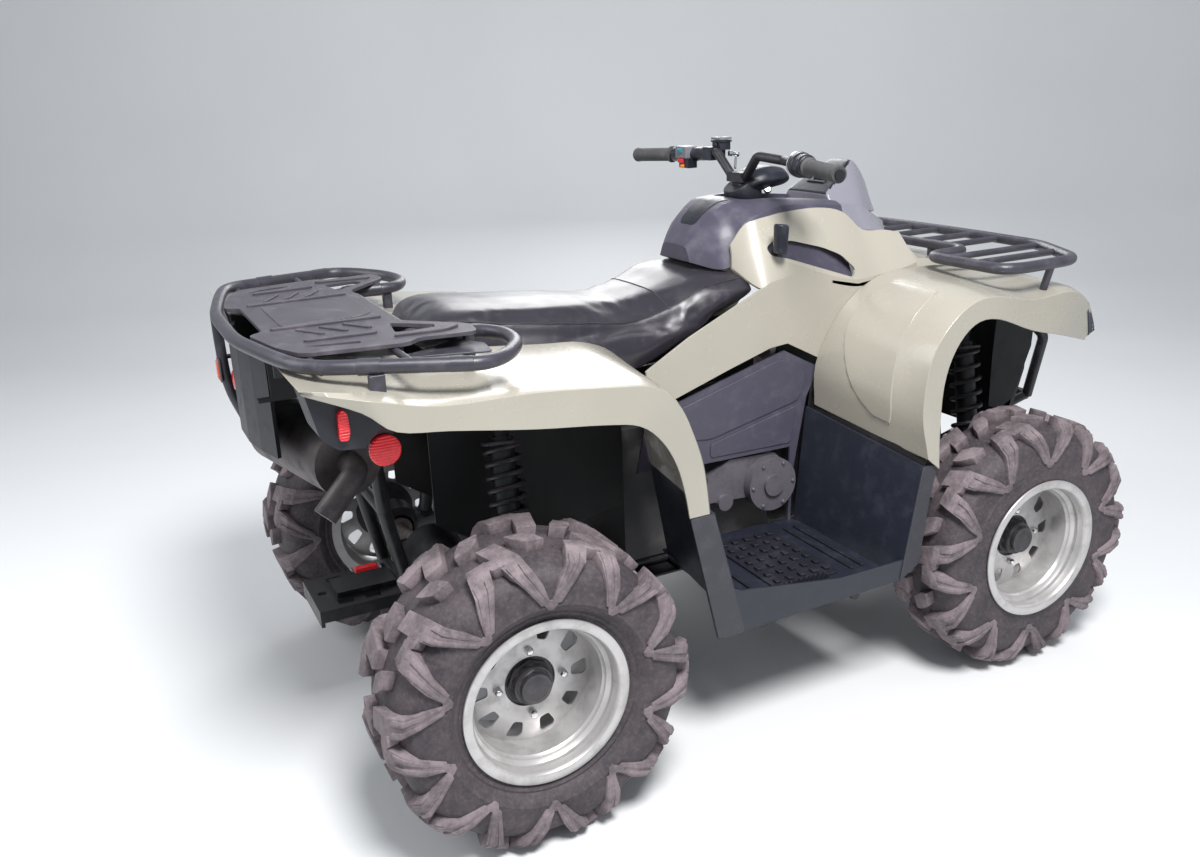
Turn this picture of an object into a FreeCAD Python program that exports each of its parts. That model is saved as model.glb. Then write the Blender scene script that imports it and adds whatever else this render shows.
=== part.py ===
import FreeCAD
import Part
import math
import os
from FreeCAD import Vector

os.makedirs("parts", exist_ok=True)

# Quad bike, millimetres: +X forward, +Y left, +Z up, origin on the ground at mid wheelbase
WHEELBASE = 1295.0
TYRE_R = 312.0
FRONT_X = WHEELBASE / 2
REAR_X = -WHEELBASE / 2
FRONT_Y = 485.0
REAR_Y = 498.0
FRONT_TYRE_W = 209.0
REAR_TYRE_W = 260.0
FRONT_REACH = 417.5
GROUND_CLEARANCE = 267.0
PANEL = 5.0
SEAT_GAP = 0.3
FIT_GAP = 0.05

# Wheels: the rim is measured from the tyre's middle plane, positive outboard
RIM_LIP_R = 170.0
RIM_SEAT_R = 152.0
RIM_WELL_R = 139.0
RIM_BORE_R = 53.0
RIM_EDGE = 105.0
RIM_DISC = 12.0
RIM_SHEET = 4.0
WINDOWS = 10
WINDOW_R = 105.0
TREAD_DEPTH = 22.0
LUG_PITCHES = 10
LUG_SPREAD = 3.2
CROWN_R = TYRE_R / math.cos(math.radians(LUG_SPREAD))

# Steering: upright kingpins, leaning column
KINGPIN_Y = 410.0
KINGPIN_LOW_Z = 228.0
KINGPIN_TOP_Z = 396.0
SPINDLE_R = 21.0
ARM_EYE_R = 17.0
COLUMN_TOP = Vector(175.0, 0.0, 1160.0)
COLUMN_FOOT = Vector(600.0, 0.0, 400.0)
COLUMN_R = 14.0
ROD_Z = 345.0
STEER_ARM = 90.0
PITMAN_ARM = 77.0
PITMAN_THICK = 8.0
MOVING_GAP = 6.0
PITMAN_Y = 24.0

# Frame tubes
TUBE_R = 16.0
OUTRIGGER_R = 12.0
OUTRIGGER_X = (-100.0, 150.0)
RAIL_TAIL_Z = 850.0
TOW_X = -757.0
TOW_Z = 346.0
SKID = 5.0
RAIL_Y = 105.0
BULKHEAD_X = 590.0
DIFF_Z = 345.0
FINAL_DRIVE_Z = 352.0
RAIL_Z = GROUND_CLEARANCE + SKID + SEAT_GAP + TUBE_R
RACK_R = 12.0
FOOT_Z = 345.0

parts = {}


def polygon(points):
    corners = [Vector(*p) for p in points]
    return Part.makePolygon(corners + corners[:1])


def loft(sections):
    return Part.makeLoft([polygon(s) for s in sections], True, True)


def side_plate(outline, y0, y1):
    """Prism of an outline of (x, z) corners between two values of y."""
    face = Part.Face(polygon([(x, y0, z) for x, z in outline]))
    return face.extrude(Vector(0, y1 - y0, 0))


def plan_plate(outline, z0, z1):
    face = Part.Face(polygon([(x, y, z0) for x, y in outline]))
    return face.extrude(Vector(0, 0, z1 - z0))


def box(x0, x1, y0, y1, z0, z1):
    return Part.makeBox(x1 - x0, y1 - y0, z1 - z0, Vector(x0, y0, z0))


def rod(a, b, radius):
    a = Vector(*a)
    b = Vector(*b)
    return Part.makeCylinder(radius, (b - a).Length, a, b - a)


def turned(profile, centre):
    """Ring from (radius, y) corners, turned about the wheel axis."""
    ring = Part.Face(polygon([(centre[0] + r, centre[1] + y, centre[2]) for r, y in profile]))
    return ring.revolve(Vector(*centre), Vector(0, 1, 0), 360)


def pipe(points, radius, bend):
    """Round bar along straight runs joined by tangent arcs."""
    points = [Vector(*p) for p in points]
    edges = []
    start = points[0]
    for before, corner, after in zip(points, points[1:], points[2:]):
        come = (corner - before).normalize()
        go = (after - corner).normalize()
        turn = come.getAngle(go)
        reach = bend * math.tan(turn / 2)
        enter = corner - come * reach
        leave = corner + go * reach
        inward = (go - come).normalize()
        middle = corner + inward * (bend / math.cos(turn / 2) - bend)
        edges.append(Part.LineSegment(start, enter).toShape())
        edges.append(Part.Arc(enter, middle, leave).toShape())
        start = leave
    edges.append(Part.LineSegment(start, points[-1]).toShape())
    path = Part.Wire(edges)
    ring = Part.Wire(Part.makeCircle(radius, points[0], points[1] - points[0]))
    return path.makePipeShell([ring], True, False)


def fuse(shapes):
    whole = shapes[0]
    for shape in shapes[1:]:
        whole = whole.fuse(shape)
    return whole


def largest(shape):
    return max(shape.Solids, key=lambda solid: solid.Volume)


def mirrored(shape):
    return shape.mirror(Vector(0, 0, 0), Vector(0, 1, 0))


def both(shape):
    return [shape, mirrored(shape)]


def pair(name, right):
    """The right-hand piece and its mirror image, as two nodes."""
    parts[name + "_right"] = [right]
    parts[name + "_left"] = [mirrored(right)]


def polar(centre_x, angle, radius):
    """Point in the side view at an angle from straight ahead, about an axle."""
    turn = math.radians(angle)
    return centre_x + radius * math.cos(turn), TYRE_R + radius * math.sin(turn)


column_way = (COLUMN_TOP - COLUMN_FOOT).normalize()
across = Vector(column_way.z, 0, -column_way.x) * -1


def column_space(radius):
    return Part.makeCylinder(radius, (COLUMN_TOP - COLUMN_FOOT).Length + 40, COLUMN_FOOT, column_way)


# Frame: two rails below, two above, uprights and cross tubes, welded
def frame():
    rail = [(-760, -RAIL_Y, RAIL_Z), (735, -RAIL_Y, RAIL_Z), (760, -RAIL_Y, 430), (700, -120, 800),
            (250, -120, 705), (-300, -120, 690), (-560, -130, 735), (-930, -130, RAIL_TAIL_Z)]
    tubes = both(pipe(rail, TUBE_R, 40))
    uprights = [((BULKHEAD_X, -RAIL_Y, RAIL_Z), (BULKHEAD_X, -119, 777)),
                ((-745, -RAIL_Y, RAIL_Z), (-800, -115, 560)), ((-800, -115, 560), (-820, -130, 816))]
    for low, high in uprights:
        tubes += both(rod(low, high, TUBE_R - 1))
    tubes += both(Part.makeSphere(TUBE_R - 0.5, Vector(-800, -115, 560)))
    crossings = [(-745, RAIL_Z, RAIL_Y), (725, RAIL_Z, RAIL_Y), (640, 787, 120), (-890, 838, 130),
                 (-300, 690, 120), (-800, 560, 115), (TOW_X, TOW_Z, 107)]
    for x, z, y in crossings:
        tubes.append(rod((x, -y, z), (x, y, z), TUBE_R - 3))
    for x in OUTRIGGER_X:
        tubes += both(rod((x, -RAIL_Y, RAIL_Z), (x, -515, RAIL_Z), OUTRIGGER_R))
    tubes += both(box(-480, -450, -128, -112, 710, 846.4))
    tubes += [box(388, 426, -118, 118, 734, 756), box(566, 600, -104, 104, 424, 446)]
    return fuse(tubes).cut(column_space(COLUMN_R + FIT_GAP))


parts["frame"] = [frame()]

skid_line = [(-740, GROUND_CLEARANCE), (770, GROUND_CLEARANCE), (900, 350), (897, 355),
             (768, GROUND_CLEARANCE + SKID), (-740, GROUND_CLEARANCE + SKID)]
parts["skid_plate"] = [side_plate(skid_line, -165, 165)]

# Engine: one block on the rails, covers on both sides
ENGINE_Y = (-125.0, 150.0)
engine_z = RAIL_Z + TUBE_R + SEAT_GAP
parts["engine"] = [box(-230, 184, ENGINE_Y[0], ENGINE_Y[1], engine_z, 640)]


def engine_covers():
    y = ENGINE_Y[0]
    house = side_plate([(-45, 440), (-40, 505), (20, 540), (150, 535), (188, 500), (150, 430)], y - 70, y)
    drum = rod((129, y - 98, 464), (129, y, 464), 67)
    boss = rod((129, y - 106, 464), (129, y - 98, 464), 27)
    plug = rod((5, y - 80, 436), (5, y, 436), 20)
    right = fuse([house, drum, boss, plug])
    y = ENGINE_Y[1]
    left = fuse([rod((110, y, 470), (110, y + 55, 470), 100), rod((-110, y, 450), (-110, y + 55, 450), 80),
                 side_plate([(110, 570), (-110, 530), (-110, 370), (110, 370)], y, y + 55)])
    return [right, left]


parts["engine_covers"] = engine_covers()

# Inner side panels above the engine covers
PANEL_Y = 205.0
inner_line = [(-235, 560), (-215, 650), (-150, 705), (168, 790), (270, 735), (236, 665), (200, 480),
              (195, FOOT_Z + PANEL + SEAT_GAP), (188, FOOT_Z + PANEL + SEAT_GAP), (190, 545), (-60, 548)]
inner_panel = side_plate(inner_line, -PANEL_Y, -PANEL_Y + PANEL)
inner_pair = zip(both(inner_panel), parts["engine_covers"])
parts["inner_panels"] = [largest(panel.cut(cover)) for panel, cover in inner_pair]


# Footwell: floor, rear wall, outer sill, front wall and the guard strips
def footwell():
    outer = -530.0
    inner = -PANEL_Y - 1.5
    back = loft([[(-240, outer, 580), (-234, outer, 580), (-160, outer, 300), (-166, outer, 300)],
                 [(-202, inner, 580), (-196, inner, 580), (-154, inner, FOOT_Z), (-160, inner, FOOT_Z)]])
    strip = side_plate([(-292, 580), (-234, 580), (-160, 300), (-165, 289), (-227, 292)], outer, outer + PANEL)
    floor = box(-164, 208, outer, -190, FOOT_Z, FOOT_Z + PANEL)
    sill = side_plate([(-220, 292), (270, 302), (275, 352), (92, 352), (-168, 390), (-190, 400)],
                      outer, outer + PANEL)
    front = loft([[(262, outer, 300), (268, outer, 300), (317, outer, 570), (311, outer, 570)],
                  [(203, inner, FOOT_Z), (209, inner, FOOT_Z), (240, inner, 640), (234, inner, 640)]])
    guard = side_plate([(262, 300), (318, 332), (340, 493), (357, 570), (311, 570)], outer, outer + PANEL)
    ribs = [box(-130, 190, y, y + PANEL, RAIL_Z + OUTRIGGER_R + SEAT_GAP, FOOT_Z) for y in (-480, -280)]
    return fuse([back, strip, floor, sill, front, guard] + ribs)


pair("footwell", footwell())


# Rear fender: stations about the axle, from the front foot to the tail tip
# columns: angle, radius of the lip, of the crest, of the inner edge, y of the lip
REAR_FENDER = [
    (43.0, 473, 541, 580, -530), (50.0, 506, 578, 626, -535), (57.0, 532, 615, 650, -542), (64.0, 544, 630, 642, -550),
    (72.0, 531, 611, 616, -550), (87.0, 523, 598, 602, -550), (103.0, 562, 618, 626, -550), (111.5, 605, 673, 672, -550),
    (114.5, 662, 698, 692, -540), (119.5, 734, 747, 745, -510)]
FENDER_CREST = -520.0
FENDER_INNER = -212.0


def fender(stations, axle_x, crest_y, inner_y, crest_drop, foot=None):
    sections = []
    if foot:
        lip, crest, inner, z, lip_y = foot
        sections.append([(lip, lip_y, z), (crest - crest_drop, lip_y, z), (crest, crest_y, z), (inner, inner_y, z),
                         (inner - PANEL, inner_y, z), (crest - PANEL - 1, crest_y + 2, z),
                         (crest - crest_drop - 3, lip_y + PANEL, z), (lip, lip_y + PANEL, z)])
    for angle, lip, crest, inner, lip_y in stations:
        ring = [(lip, lip_y), (crest - crest_drop, lip_y), (crest, crest_y), (inner, inner_y),
                (inner - PANEL, inner_y), (crest - PANEL - 1, crest_y + 2),
                (max(crest - crest_drop - 3, lip + 1), lip_y + PANEL), (lip, lip_y + PANEL)]
        section = []
        for radius, y in ring:
            x, z = polar(axle_x, angle, radius)
            section.append((x, y, z))
        sections.append(section)
    return loft(sections)


FENDER_FOOT_Z = 580.0
REAR_FOOT = (-292, -238, -198, FENDER_FOOT_Z + SEAT_GAP, -530)
pair("rear_fender", fender(REAR_FENDER, REAR_X, FENDER_CREST, FENDER_INNER, 8, REAR_FOOT))

# Front fender: the same columns, from the foot by the footwell to the nose
FRONT_FENDER = [
    (140.0, 410, 440, 520, -540), (132.5, 450, 532, 590, -540), (124.0, 528, 615, 632, -540),
    (117.5, 581, 651, 655, -540), (111.0, 606, 667, 664, -540), (104.5, 588, 655, 658, -538),
    (92.0, 523, 607, 634, -520), (78.0, 501, 618, 632, -500), (68.0, 502, 598, 625, -470),
    (62.0, 510, 548, 600, -455)]

pair("front_fender", fender(FRONT_FENDER, FRONT_X, -462, -PANEL_Y - 14 - SEAT_GAP, 12))


# Side panel: a flat skirt, and above it a flank that leans in from the ridge to the console
SKIN = Vector(0, 6, -3)
FLANK_Y = 150.0
SKIRT_Y = PANEL_Y + 14
# columns: x, then y and height of the foot, of the ridge and of the top edge
FLANK = [
    (60, 146, 990, 146, 1022, 140, 1043), (90, 212, 950, 168, 1026, 146, 1084), (120, SKIRT_Y, 955, 192, 1020, FLANK_Y, 1095),
    (160, SKIRT_Y, 962, 210, 1005, FLANK_Y, 1101), (200, SKIRT_Y, 970, SKIRT_Y, 989, FLANK_Y, 1106),
    (295, SKIRT_Y, 938, SKIRT_Y, 955, FLANK_Y, 1108), (371, SKIRT_Y, 921, SKIRT_Y, 938, FLANK_Y, 1092),
    (437, SKIRT_Y, 926, SKIRT_Y, 943, FLANK_Y, 1044), (505, SKIRT_Y, 933, SKIRT_Y, 950, FLANK_Y, 1036),
    (552, SKIRT_Y, 943, SKIRT_Y, 960, FLANK_Y, 1026)]


def flank(shift):
    """Leaning strip between the skirt and the console, moved inward by whole skins."""
    sections = []
    for x, foot_y, foot, ridge_y, ridge, top_y, top in FLANK:
        outer = [Vector(x, -foot_y, foot), Vector(x, -ridge_y, ridge), Vector(x, -top_y, top)]
        outer = [point + SKIN * shift for point in outer]
        inner = [point + SKIN for point in reversed(outer)]
        sections.append([tuple(point) for point in outer + inner])
    return loft(sections)


def side_panel():
    low = [(-205, 700), (-150, 722), (0, 770), (120, 806), (168, 810), (283, 749), (305, 800), (345, 850),
           (399, 905), (460, 930), (552, 950)]
    seam = [(row[0], row[2] + 5) for row in reversed(FLANK[2:-1])]
    skirt = side_plate(low + seam + [(88, 946), (-100, 862), (-213, 800)], -SKIRT_Y, -SKIRT_Y + SKIN.y)
    return fuse([skirt, flank(0)])


# The right panel has the gear lever's gate cut through it
gate_line = [(124, 1036), (131, 1016), (166, 1012), (361, 943), (371, 965), (336, 1000), (284, 1020), (197, 1046),
             (150, 1050)]
gate = side_plate(gate_line, -SKIRT_Y - 20, -FLANK_Y + 20)
parts["side_panel_right"] = [side_panel().cut(gate)]
parts["side_panel_left"] = [mirrored(side_panel())]


# Seat: stations from the tail forward
# columns: x, top, bottom, half width at the top, half width at the bottom
SEAT = [
    (-692, 930, 885, 110, 130), (-640, 976, 872, 140, 170), (-460, 962, 850, 160, 190),
    (-313, 950, 802, 160, 196), (-211, 940, 798, 158, 198), (-103, 960, 842, 160, 202),
    (-26, 982, 882, 165, 208), (78, 986, 926, 165, 208), (100, 978, 934, 152, 204)]


def seat():
    sections = []
    for x, top, low, wide, foot in SEAT:
        half = [(0.55 * wide, top), (wide, top - 0.22 * (top - low)), (foot, low + 0.15 * (top - low)), (foot - 8, low)]
        ring = half + [(-y, z) for y, z in reversed(half)]
        sections.append([(x, y, z) for y, z in ring])
    return loft(sections)


# Console between the seat and the handlebar
# columns: x, top, height of the side edge, of the foot, half width of the top, of the edge, of the foot
CONSOLE = [
    (-8, 1036, 1020, 1000, 40, 60, 70), (38, 1092, 1048, 986, 62, 110, 130),
    (76, 1122, 1060, 1003, 70, 130, 140), (105, 1131, 1092, 1066, 75, 140, FLANK_Y - 2),
    (190, 1133, 1118, 1096, 85, 142, FLANK_Y), (275, 1127, 1116, 1100, 90, 142, FLANK_Y),
    (378, 1116, 1106, 1078, 95, 138, FLANK_Y)]


# The console is sunk around the neck of the handlebar pod
NECK_R = 44.0
POCKET_X = 140.0
POCKET_Y = 74.0
POCKET_Z = 1090.0
NECK_LENGTH = 46.0


def console():
    sections = []
    for x, top, edge, foot, wide, edge_y, foot_y in CONSOLE:
        half = [(wide, top), (edge_y, edge), (foot_y, foot)]
        ring = half + [(-y, z) for y, z in reversed(half)]
        sections.append([(x, y, z) for y, z in ring])
    return loft(sections)


parts["seat"] = [seat().cut(console())]

# Grey cowl ahead of the handlebar, its shelf, and the hood down to the nose
NOSE_X = FRONT_X + 257.5
# columns: x, top, bottom, half width of the top, half width of the bottom
COWL = [(378 + SEAT_GAP, 1128, 1084, 80, 112), (450, 1182, 1080, 50, 104), (492, 1199, 1076, 34, 94),
        (532, 1156, 1070, 30, 72), (572, 1091, 1064, 14, 34)]
SHELF = [(392, 1106, 1050, 95, 146), (430, 1104, 1020, 95, 146), (468, 1096, 1000, 92, 146), (510, 1084, 1000, 68, 138),
         (560, 1064, 1000, 34, 88), (624, 1034, 996, 6, 20)]
HOOD = [(392, 1044, 985, 146, 212), (437, 1044, 985, 150, 212), (548, 1027, 950, 150, 212), (598, 960, 928, 170, 219),
        (FRONT_X + 132, 938, 900, 190, 219), (NOSE_X + 3, 872, 836, 190, 219)]


def cover(stations):
    sections = []
    for x, top, low, wide, foot in stations:
        sections.append([(x, wide, top), (x, foot, low), (x, -foot, low), (x, -wide, top)])
    return loft(sections)


parts["dash_cowl"] = [fuse([cover(COWL), cover(SHELF)])]
hood = cover(HOOD).cut(parts["dash_cowl"][0])
for fender_name in ("front_fender_right", "front_fender_left", "side_panel_right", "side_panel_left"):
    hood = hood.cut(parts[fender_name][0])
parts["hood"] = [largest(hood)]

# Nose: grille panel between the front fenders, lamps in its corners
LINER_Y = 253.0
nose_line = [(NOSE_X, 866), (NOSE_X + 20, 800), (NOSE_X + 10, 640), (NOSE_X - 45, 470), (NOSE_X - 55, 470),
             (NOSE_X - 5, 640), (NOSE_X + 5, 795), (NOSE_X - 25, 850)]
grille = side_plate(nose_line, -LINER_Y, LINER_Y)
for row in range(5):
    z = 640 + row * 30
    grille = grille.cut(box(NOSE_X - 65, NOSE_X + 55, -150, 150, z, z + 16))
grille = grille.cut(parts["hood"][0])
for fender_name in ("front_fender_right", "front_fender_left"):
    grille = grille.cut(parts[fender_name][0])
parts["front_fascia"] = [largest(grille)]
lamp_line = [(NOSE_X - 37, 790), (NOSE_X, 800), (NOSE_X - 12, 862), (NOSE_X - 37, 868)]
parts["headlamps"] = both(largest(side_plate(lamp_line, -425, -270).cut(parts["front_fender_right"][0])))

# Front bumper: an outer hoop and its stays from the frame
BUMPER_X = FRONT_X + FRONT_REACH - 14
bumper = [pipe([(BUMPER_X, -150, 520), (BUMPER_X, -190, 700), (BUMPER_X - 46, -150, 760),
                (BUMPER_X - 46, 150, 760), (BUMPER_X, 190, 700), (BUMPER_X, 150, 520)], 14, 30)]
bumper.append(rod((BUMPER_X, -150, 520), (BUMPER_X, 150, 520), 14))
for y in (-RAIL_Y, RAIL_Y):
    bumper.append(rod((762, y, 420), (BUMPER_X, y * 1.4, 520), 12))
bumper = fuse(bumper).cut(parts["frame"][0])
parts["front_bumper"] = [largest(bumper)]

# Rear rack: outer rail with two forward loops, deck in the middle
RACK_Z = 962.0
FRONT_RACK_Z = 978.0


def rear_rack():
    z = RACK_Z
    rail = [(-737, -283, z), (-620, -272, z), (-583, -335, z + 1), (-594, -428, z + 2), (-652, -512, z + 4),
            (-704, -546, z + 6), (-985, -440, z + 16), (-1015, -330, z + 14), (-1053, -130, z + 11), (-1053, 0, z + 11)]
    half = pipe(rail, RACK_R, 30)
    bars = both(half)
    bars.append(rod((-737, -284, z), (-737, 284, z), RACK_R))
    for x, reach in ((-810, 505), (-960, 449)):
        bars.append(rod((x, -reach, z + 7), (x, reach, z + 7), 7))
    posts = both(box(-893, -865, -496, -483, 880, z)) + both(box(-650, -630, -292, -272, 850, z))
    posts += both(box(-745, -729, -138, -122, 780, z))
    stay = pipe([(-1051, 140, z + 11), (-1050, 140, 900), (-1046, 140, 815), (-1004, 140, 700)], RACK_R - 1, 40)
    rack = fuse(bars + posts + [stay]).cut(parts["frame"][0])
    for fender in ("rear_fender_right", "rear_fender_left"):
        rack = rack.cut(parts[fender][0])
    return largest(rack)


parts["rear_rack"] = [rear_rack()]
DECK_HALF = [(-748, 0), (-748, -190), (-640, -300), (-650, -372), (-760, -356), (-785, -384), (-972, -356), (-1003, -284),
             (-1030, -150), (-1000, -131), (-1000, 0)]
deck_line = DECK_HALF + [(x, -y) for x, y in reversed(DECK_HALF[1:-1])]
deck = plan_plate(deck_line, RACK_Z + 14 + SEAT_GAP, RACK_Z + 24)
parts["rear_rack_deck"] = [deck.cut(parts["rear_rack"][0])]


def front_rack():
    z = FRONT_RACK_Z
    ring = [(690, -120, z), (690, -246, z), (555, -250, z), (555, -480, z), (600, -500, z), (783, -492, z),
            (880, -300, z), (888, -100, z), (888, 0, z)]
    bars = both(pipe(ring, RACK_R, 22))
    bars.append(rod((690, -121, z), (690, 121, z), RACK_R))
    for y, start, reach in ((60, 690, 888), (160, 690, 885), (300, 555, 880), (390, 555, 840)):
        bars += both(rod((start, -y, z), (reach, -y, z), 8))
    posts = both(rod((700, -496, z), (700, -470, 890), 9)) + both(rod((690, -120, z), (690, -120, 790), 10))
    rack = fuse(bars + posts)
    for carrier in ("front_fender_right", "front_fender_left", "frame"):
        rack = rack.cut(parts[carrier][0])
    return largest(rack)


parts["front_rack"] = [front_rack()]
parts["hood"] = [parts["hood"][0].cut(parts["front_rack"][0])]

# Tail: black panel under the rack with corner pieces, lamps and reflectors
fascia_half = [(-1012, 190), (-1030, 120), (-1042, 50), (-1042, 0)]
fascia_rear = fascia_half + [(x, -y) for x, y in reversed(fascia_half[:-1])]
fascia_line = fascia_rear + [(x + 8, y * 0.97) for x, y in reversed(fascia_rear)]
parts["rear_fascia"] = [largest(plan_plate(fascia_line, 745, 950).cut(parts["rear_rack"][0]))]
tray_z = RAIL_TAIL_Z + TUBE_R + SEAT_GAP
tray_y = FENDER_INNER + SEAT_GAP
tray = [box(-1036, -700, tray_y, -tray_y, tray_z, tray_z + PANEL)]
tray += both(side_plate([(-1012, tray_z), (-700, tray_z), (-700, 892), (-790, 905), (-900, 925), (-1000, 955),
                         (-1012, 958)], tray_y, tray_y + PANEL))
tray = fuse(tray).cut(plan_plate(fascia_rear + [(-1100, -190), (-1100, 190)], 700, 1000))
tray = tray.cut(parts["rear_fascia"][0]).cut(parts["rear_rack"][0]).cut(parts["frame"][0])
parts["rear_tray"] = [largest(tray)]
corner_line = [(-1005, 960), (-900, 930), (-868, 862), (-896, 838), (-955, 842), (-985, 868)]
corner = [side_plate(corner_line, -494, -400), box(-892, -850, -450, -430, 800, 870)]
parts["tail_corners"] = both(largest(fuse(corner).cut(parts["rear_fender_right"][0])))
lamp = box(-951, -939, -504, -494 - SEAT_GAP, 862, 912)
reflector = rod((-868, -450 - SEAT_GAP, 814), (-868, -460, 814), 29)
stop = rod((-1044, 62, 848), (-1036, 62, 848), 21).cut(parts["rear_fascia"][0])
marker = box(-1065, -1056, 126, 154, 832, 880).cut(parts["rear_rack"][0])
parts["tail_lamps"] = both(lamp) + both(reflector) + [largest(stop), largest(marker)]


# Silencer: a drum across the tail with its outlet at the right-hand cap
def silencer():
    right = Vector(-888, -240, 730)
    left = Vector(-960, 60, 730)
    drum = Part.makeCylinder(72, (left - right).Length, right, left - right)
    outlet = pipe([(-890, -230, 730), (-884, -290, 728), (-960, -310, 655)], 24, 24)
    strap = box(-912, -892, -136, -124, 780, 845)
    return largest(fuse([drum, outlet, strap]).cut(parts["frame"][0]))


parts["silencer"] = [silencer()]

# Tow bar below the tail: a channel with a pin hole and slots
TOW_PIN_X = -930.0
TOW_PIN_R = 9.5
tow = [box(-905, TOW_X - TUBE_R + 3 - SEAT_GAP, -40, 40, TOW_Z - 16, TOW_Z + 16), box(-955, -760, -88, 88, 342, 350)]
tow += [box(-955, -947, -88, 88, 312, 350)] + both(box(-955, -760, -88, -80, 322, 350))
tow = fuse(tow).cut(rod((TOW_PIN_X, 0, 300), (TOW_PIN_X, 0, 400), TOW_PIN_R))
for slot_x in (-890, -830):
    for y in (-61, 61):
        tow = tow.cut(box(slot_x - 18, slot_x + 18, y - 11, y + 11, 300, 360))
parts["hitch"] = [largest(tow.cut(parts["frame"][0]))]

# Gear lever in its gate on the right: a slotted plate behind the side panel
gate_back = [(112, 1046), (121, 1006), (160, 1002), (358, 932), (382, 962), (340, 1010), (288, 1032), (198, 1058),
             (140, 1062)]
plate = flank(1).common(side_plate(gate_back, -SKIRT_Y - 20, -FLANK_Y + 30))
lever = [largest(plate), rod((158, -188, 1020), (142, -214, 1064), 5), box(124, 156, -236, -204, 1054, 1086)]
parts["gear_lever"] = [largest(fuse(lever))]
pocket = box(POCKET_X, 372, -POCKET_Y, POCKET_Y, POCKET_Z, 1200)
parts["console"] = [console().cut(pocket).cut(column_space(COLUMN_R + MOVING_GAP)).cut(parts["gear_lever"][0])]
for side in ("right", "left"):
    panel = parts["side_panel_" + side][0].cut(parts["seat"][0])
    for name in ("console", "gear_lever", "rear_fender_" + side):
        panel = panel.cut(parts[name][0])
    parts["side_panel_" + side] = [largest(panel)]

# Splash panels: black skins inside the arches, front and rear
front_liner = [(NOSE_X - 115, 560), (NOSE_X - 81, 543), (NOSE_X - 30, 566), (NOSE_X + 23, 702), (NOSE_X + 25, 740),
               (NOSE_X, 850), (NOSE_X - 105, 880), (NOSE_X - 115, 700)]
liner = side_plate(front_liner, -LINER_Y - 5, -LINER_Y)
for name in ("front_fender_right", "headlamps", "front_fascia", "front_rack", "hood"):
    for solid in parts[name]:
        liner = liner.cut(solid)
rear_liner = [(-700, 520), (-700, 866), (-640, 862), (-460, 842), (-320, 795), (-245, 790), (-245, 470), (-560, 430)]
wall = side_plate(rear_liner, -130 - TUBE_R - SEAT_GAP - PANEL, -130 - TUBE_R - SEAT_GAP)
wall = wall.cut(parts["rear_tray"][0]).cut(parts["seat"][0])
parts["splash_panels"] = both(largest(liner)) + both(largest(wall))

# Drive line
diff = [rod((FRONT_X, -70, DIFF_Z), (FRONT_X, 70, DIFF_Z), 56), rod((585, 0, DIFF_Z), (FRONT_X, 0, DIFF_Z), 30)]
foot_z = RAIL_Z + TUBE_R + SEAT_GAP
parts["front_differential"] = [fuse(diff + both(box(FRONT_X - 20, FRONT_X + 20, -116, -60, foot_z, foot_z + 9)))]
final = [rod((REAR_X, -85, FINAL_DRIVE_Z), (REAR_X, 85, FINAL_DRIVE_Z), 72),
         rod((REAR_X, 0, FINAL_DRIVE_Z), (-540, 0, FINAL_DRIVE_Z), 36)]
parts["rear_final_drive"] = [fuse(final + both(box(REAR_X - 25, REAR_X + 25, -116, -60, foot_z, foot_z + 9)))]


def half_shaft(x, z, inner, outer):
    bar = rod((x, inner, z), (x, outer, TYRE_R), 13)
    root = rod((x, inner, z), (x, inner - 30, z), 28)
    end = rod((x, outer + 26, TYRE_R), (x, outer, TYRE_R), 30)
    return fuse([bar, root, end])


front_shaft = half_shaft(FRONT_X, DIFF_Z, -70, -372).cut(parts["front_differential"][0])
rear_shaft = half_shaft(REAR_X, FINAL_DRIVE_Z, -85, -372).cut(parts["rear_final_drive"][0])
parts["half_shafts"] = both(front_shaft) + both(rear_shaft)


# Suspension: double arms in front, trailing arms behind
def front_arm(ball, pivot_z, reaches, pivot_y):
    arms = []
    for reach in reaches:
        foot = (FRONT_X + reach, -pivot_y, pivot_z)
        arms.append(rod(foot, ball, 13))
        arms.append(rod((foot[0] - 20, foot[1], foot[2]), (foot[0] + 20, foot[1], foot[2]), ARM_EYE_R))
    arms.append(Part.makeSphere(ARM_EYE_R, Vector(*ball)))
    return fuse(arms)


arm_y = RAIL_Y + TUBE_R + ARM_EYE_R + SEAT_GAP
low_arm = front_arm((FRONT_X, -KINGPIN_Y, KINGPIN_LOW_Z), 305, (-95, 90), arm_y)
top_arm = front_arm((FRONT_X, -KINGPIN_Y, KINGPIN_TOP_Z), 450, (-68, 58), arm_y + 5)
parts["front_arms"] = both(low_arm) + both(top_arm)


def rear_arm():
    beam = loft([[(-310, -175, 268), (-310, -215, 268), (-310, -215, 314), (-310, -175, 314)],
                 [(-560, -300, 275), (-560, -345, 275), (-560, -345, 345), (-560, -300, 345)],
                 [(-606, -352, 270), (-606, -385, 270), (-606, -385, 354), (-606, -352, 354)]])
    pivot = rod((-310, -232, RAIL_Z), (-310, -RAIL_Y - TUBE_R - SEAT_GAP, RAIL_Z), TUBE_R - 0.2)
    carrier = rod((REAR_X, -352, TYRE_R), (REAR_X, -425, TYRE_R), 58)
    return fuse([beam, pivot, carrier])


rear = rear_arm().cut(rod((REAR_X, -300, TYRE_R), (REAR_X, -395, TYRE_R), 37))
rear = rear.cut(rod((REAR_X, -390, TYRE_R), (REAR_X, -440, TYRE_R), SPINDLE_R + FIT_GAP))


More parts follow.
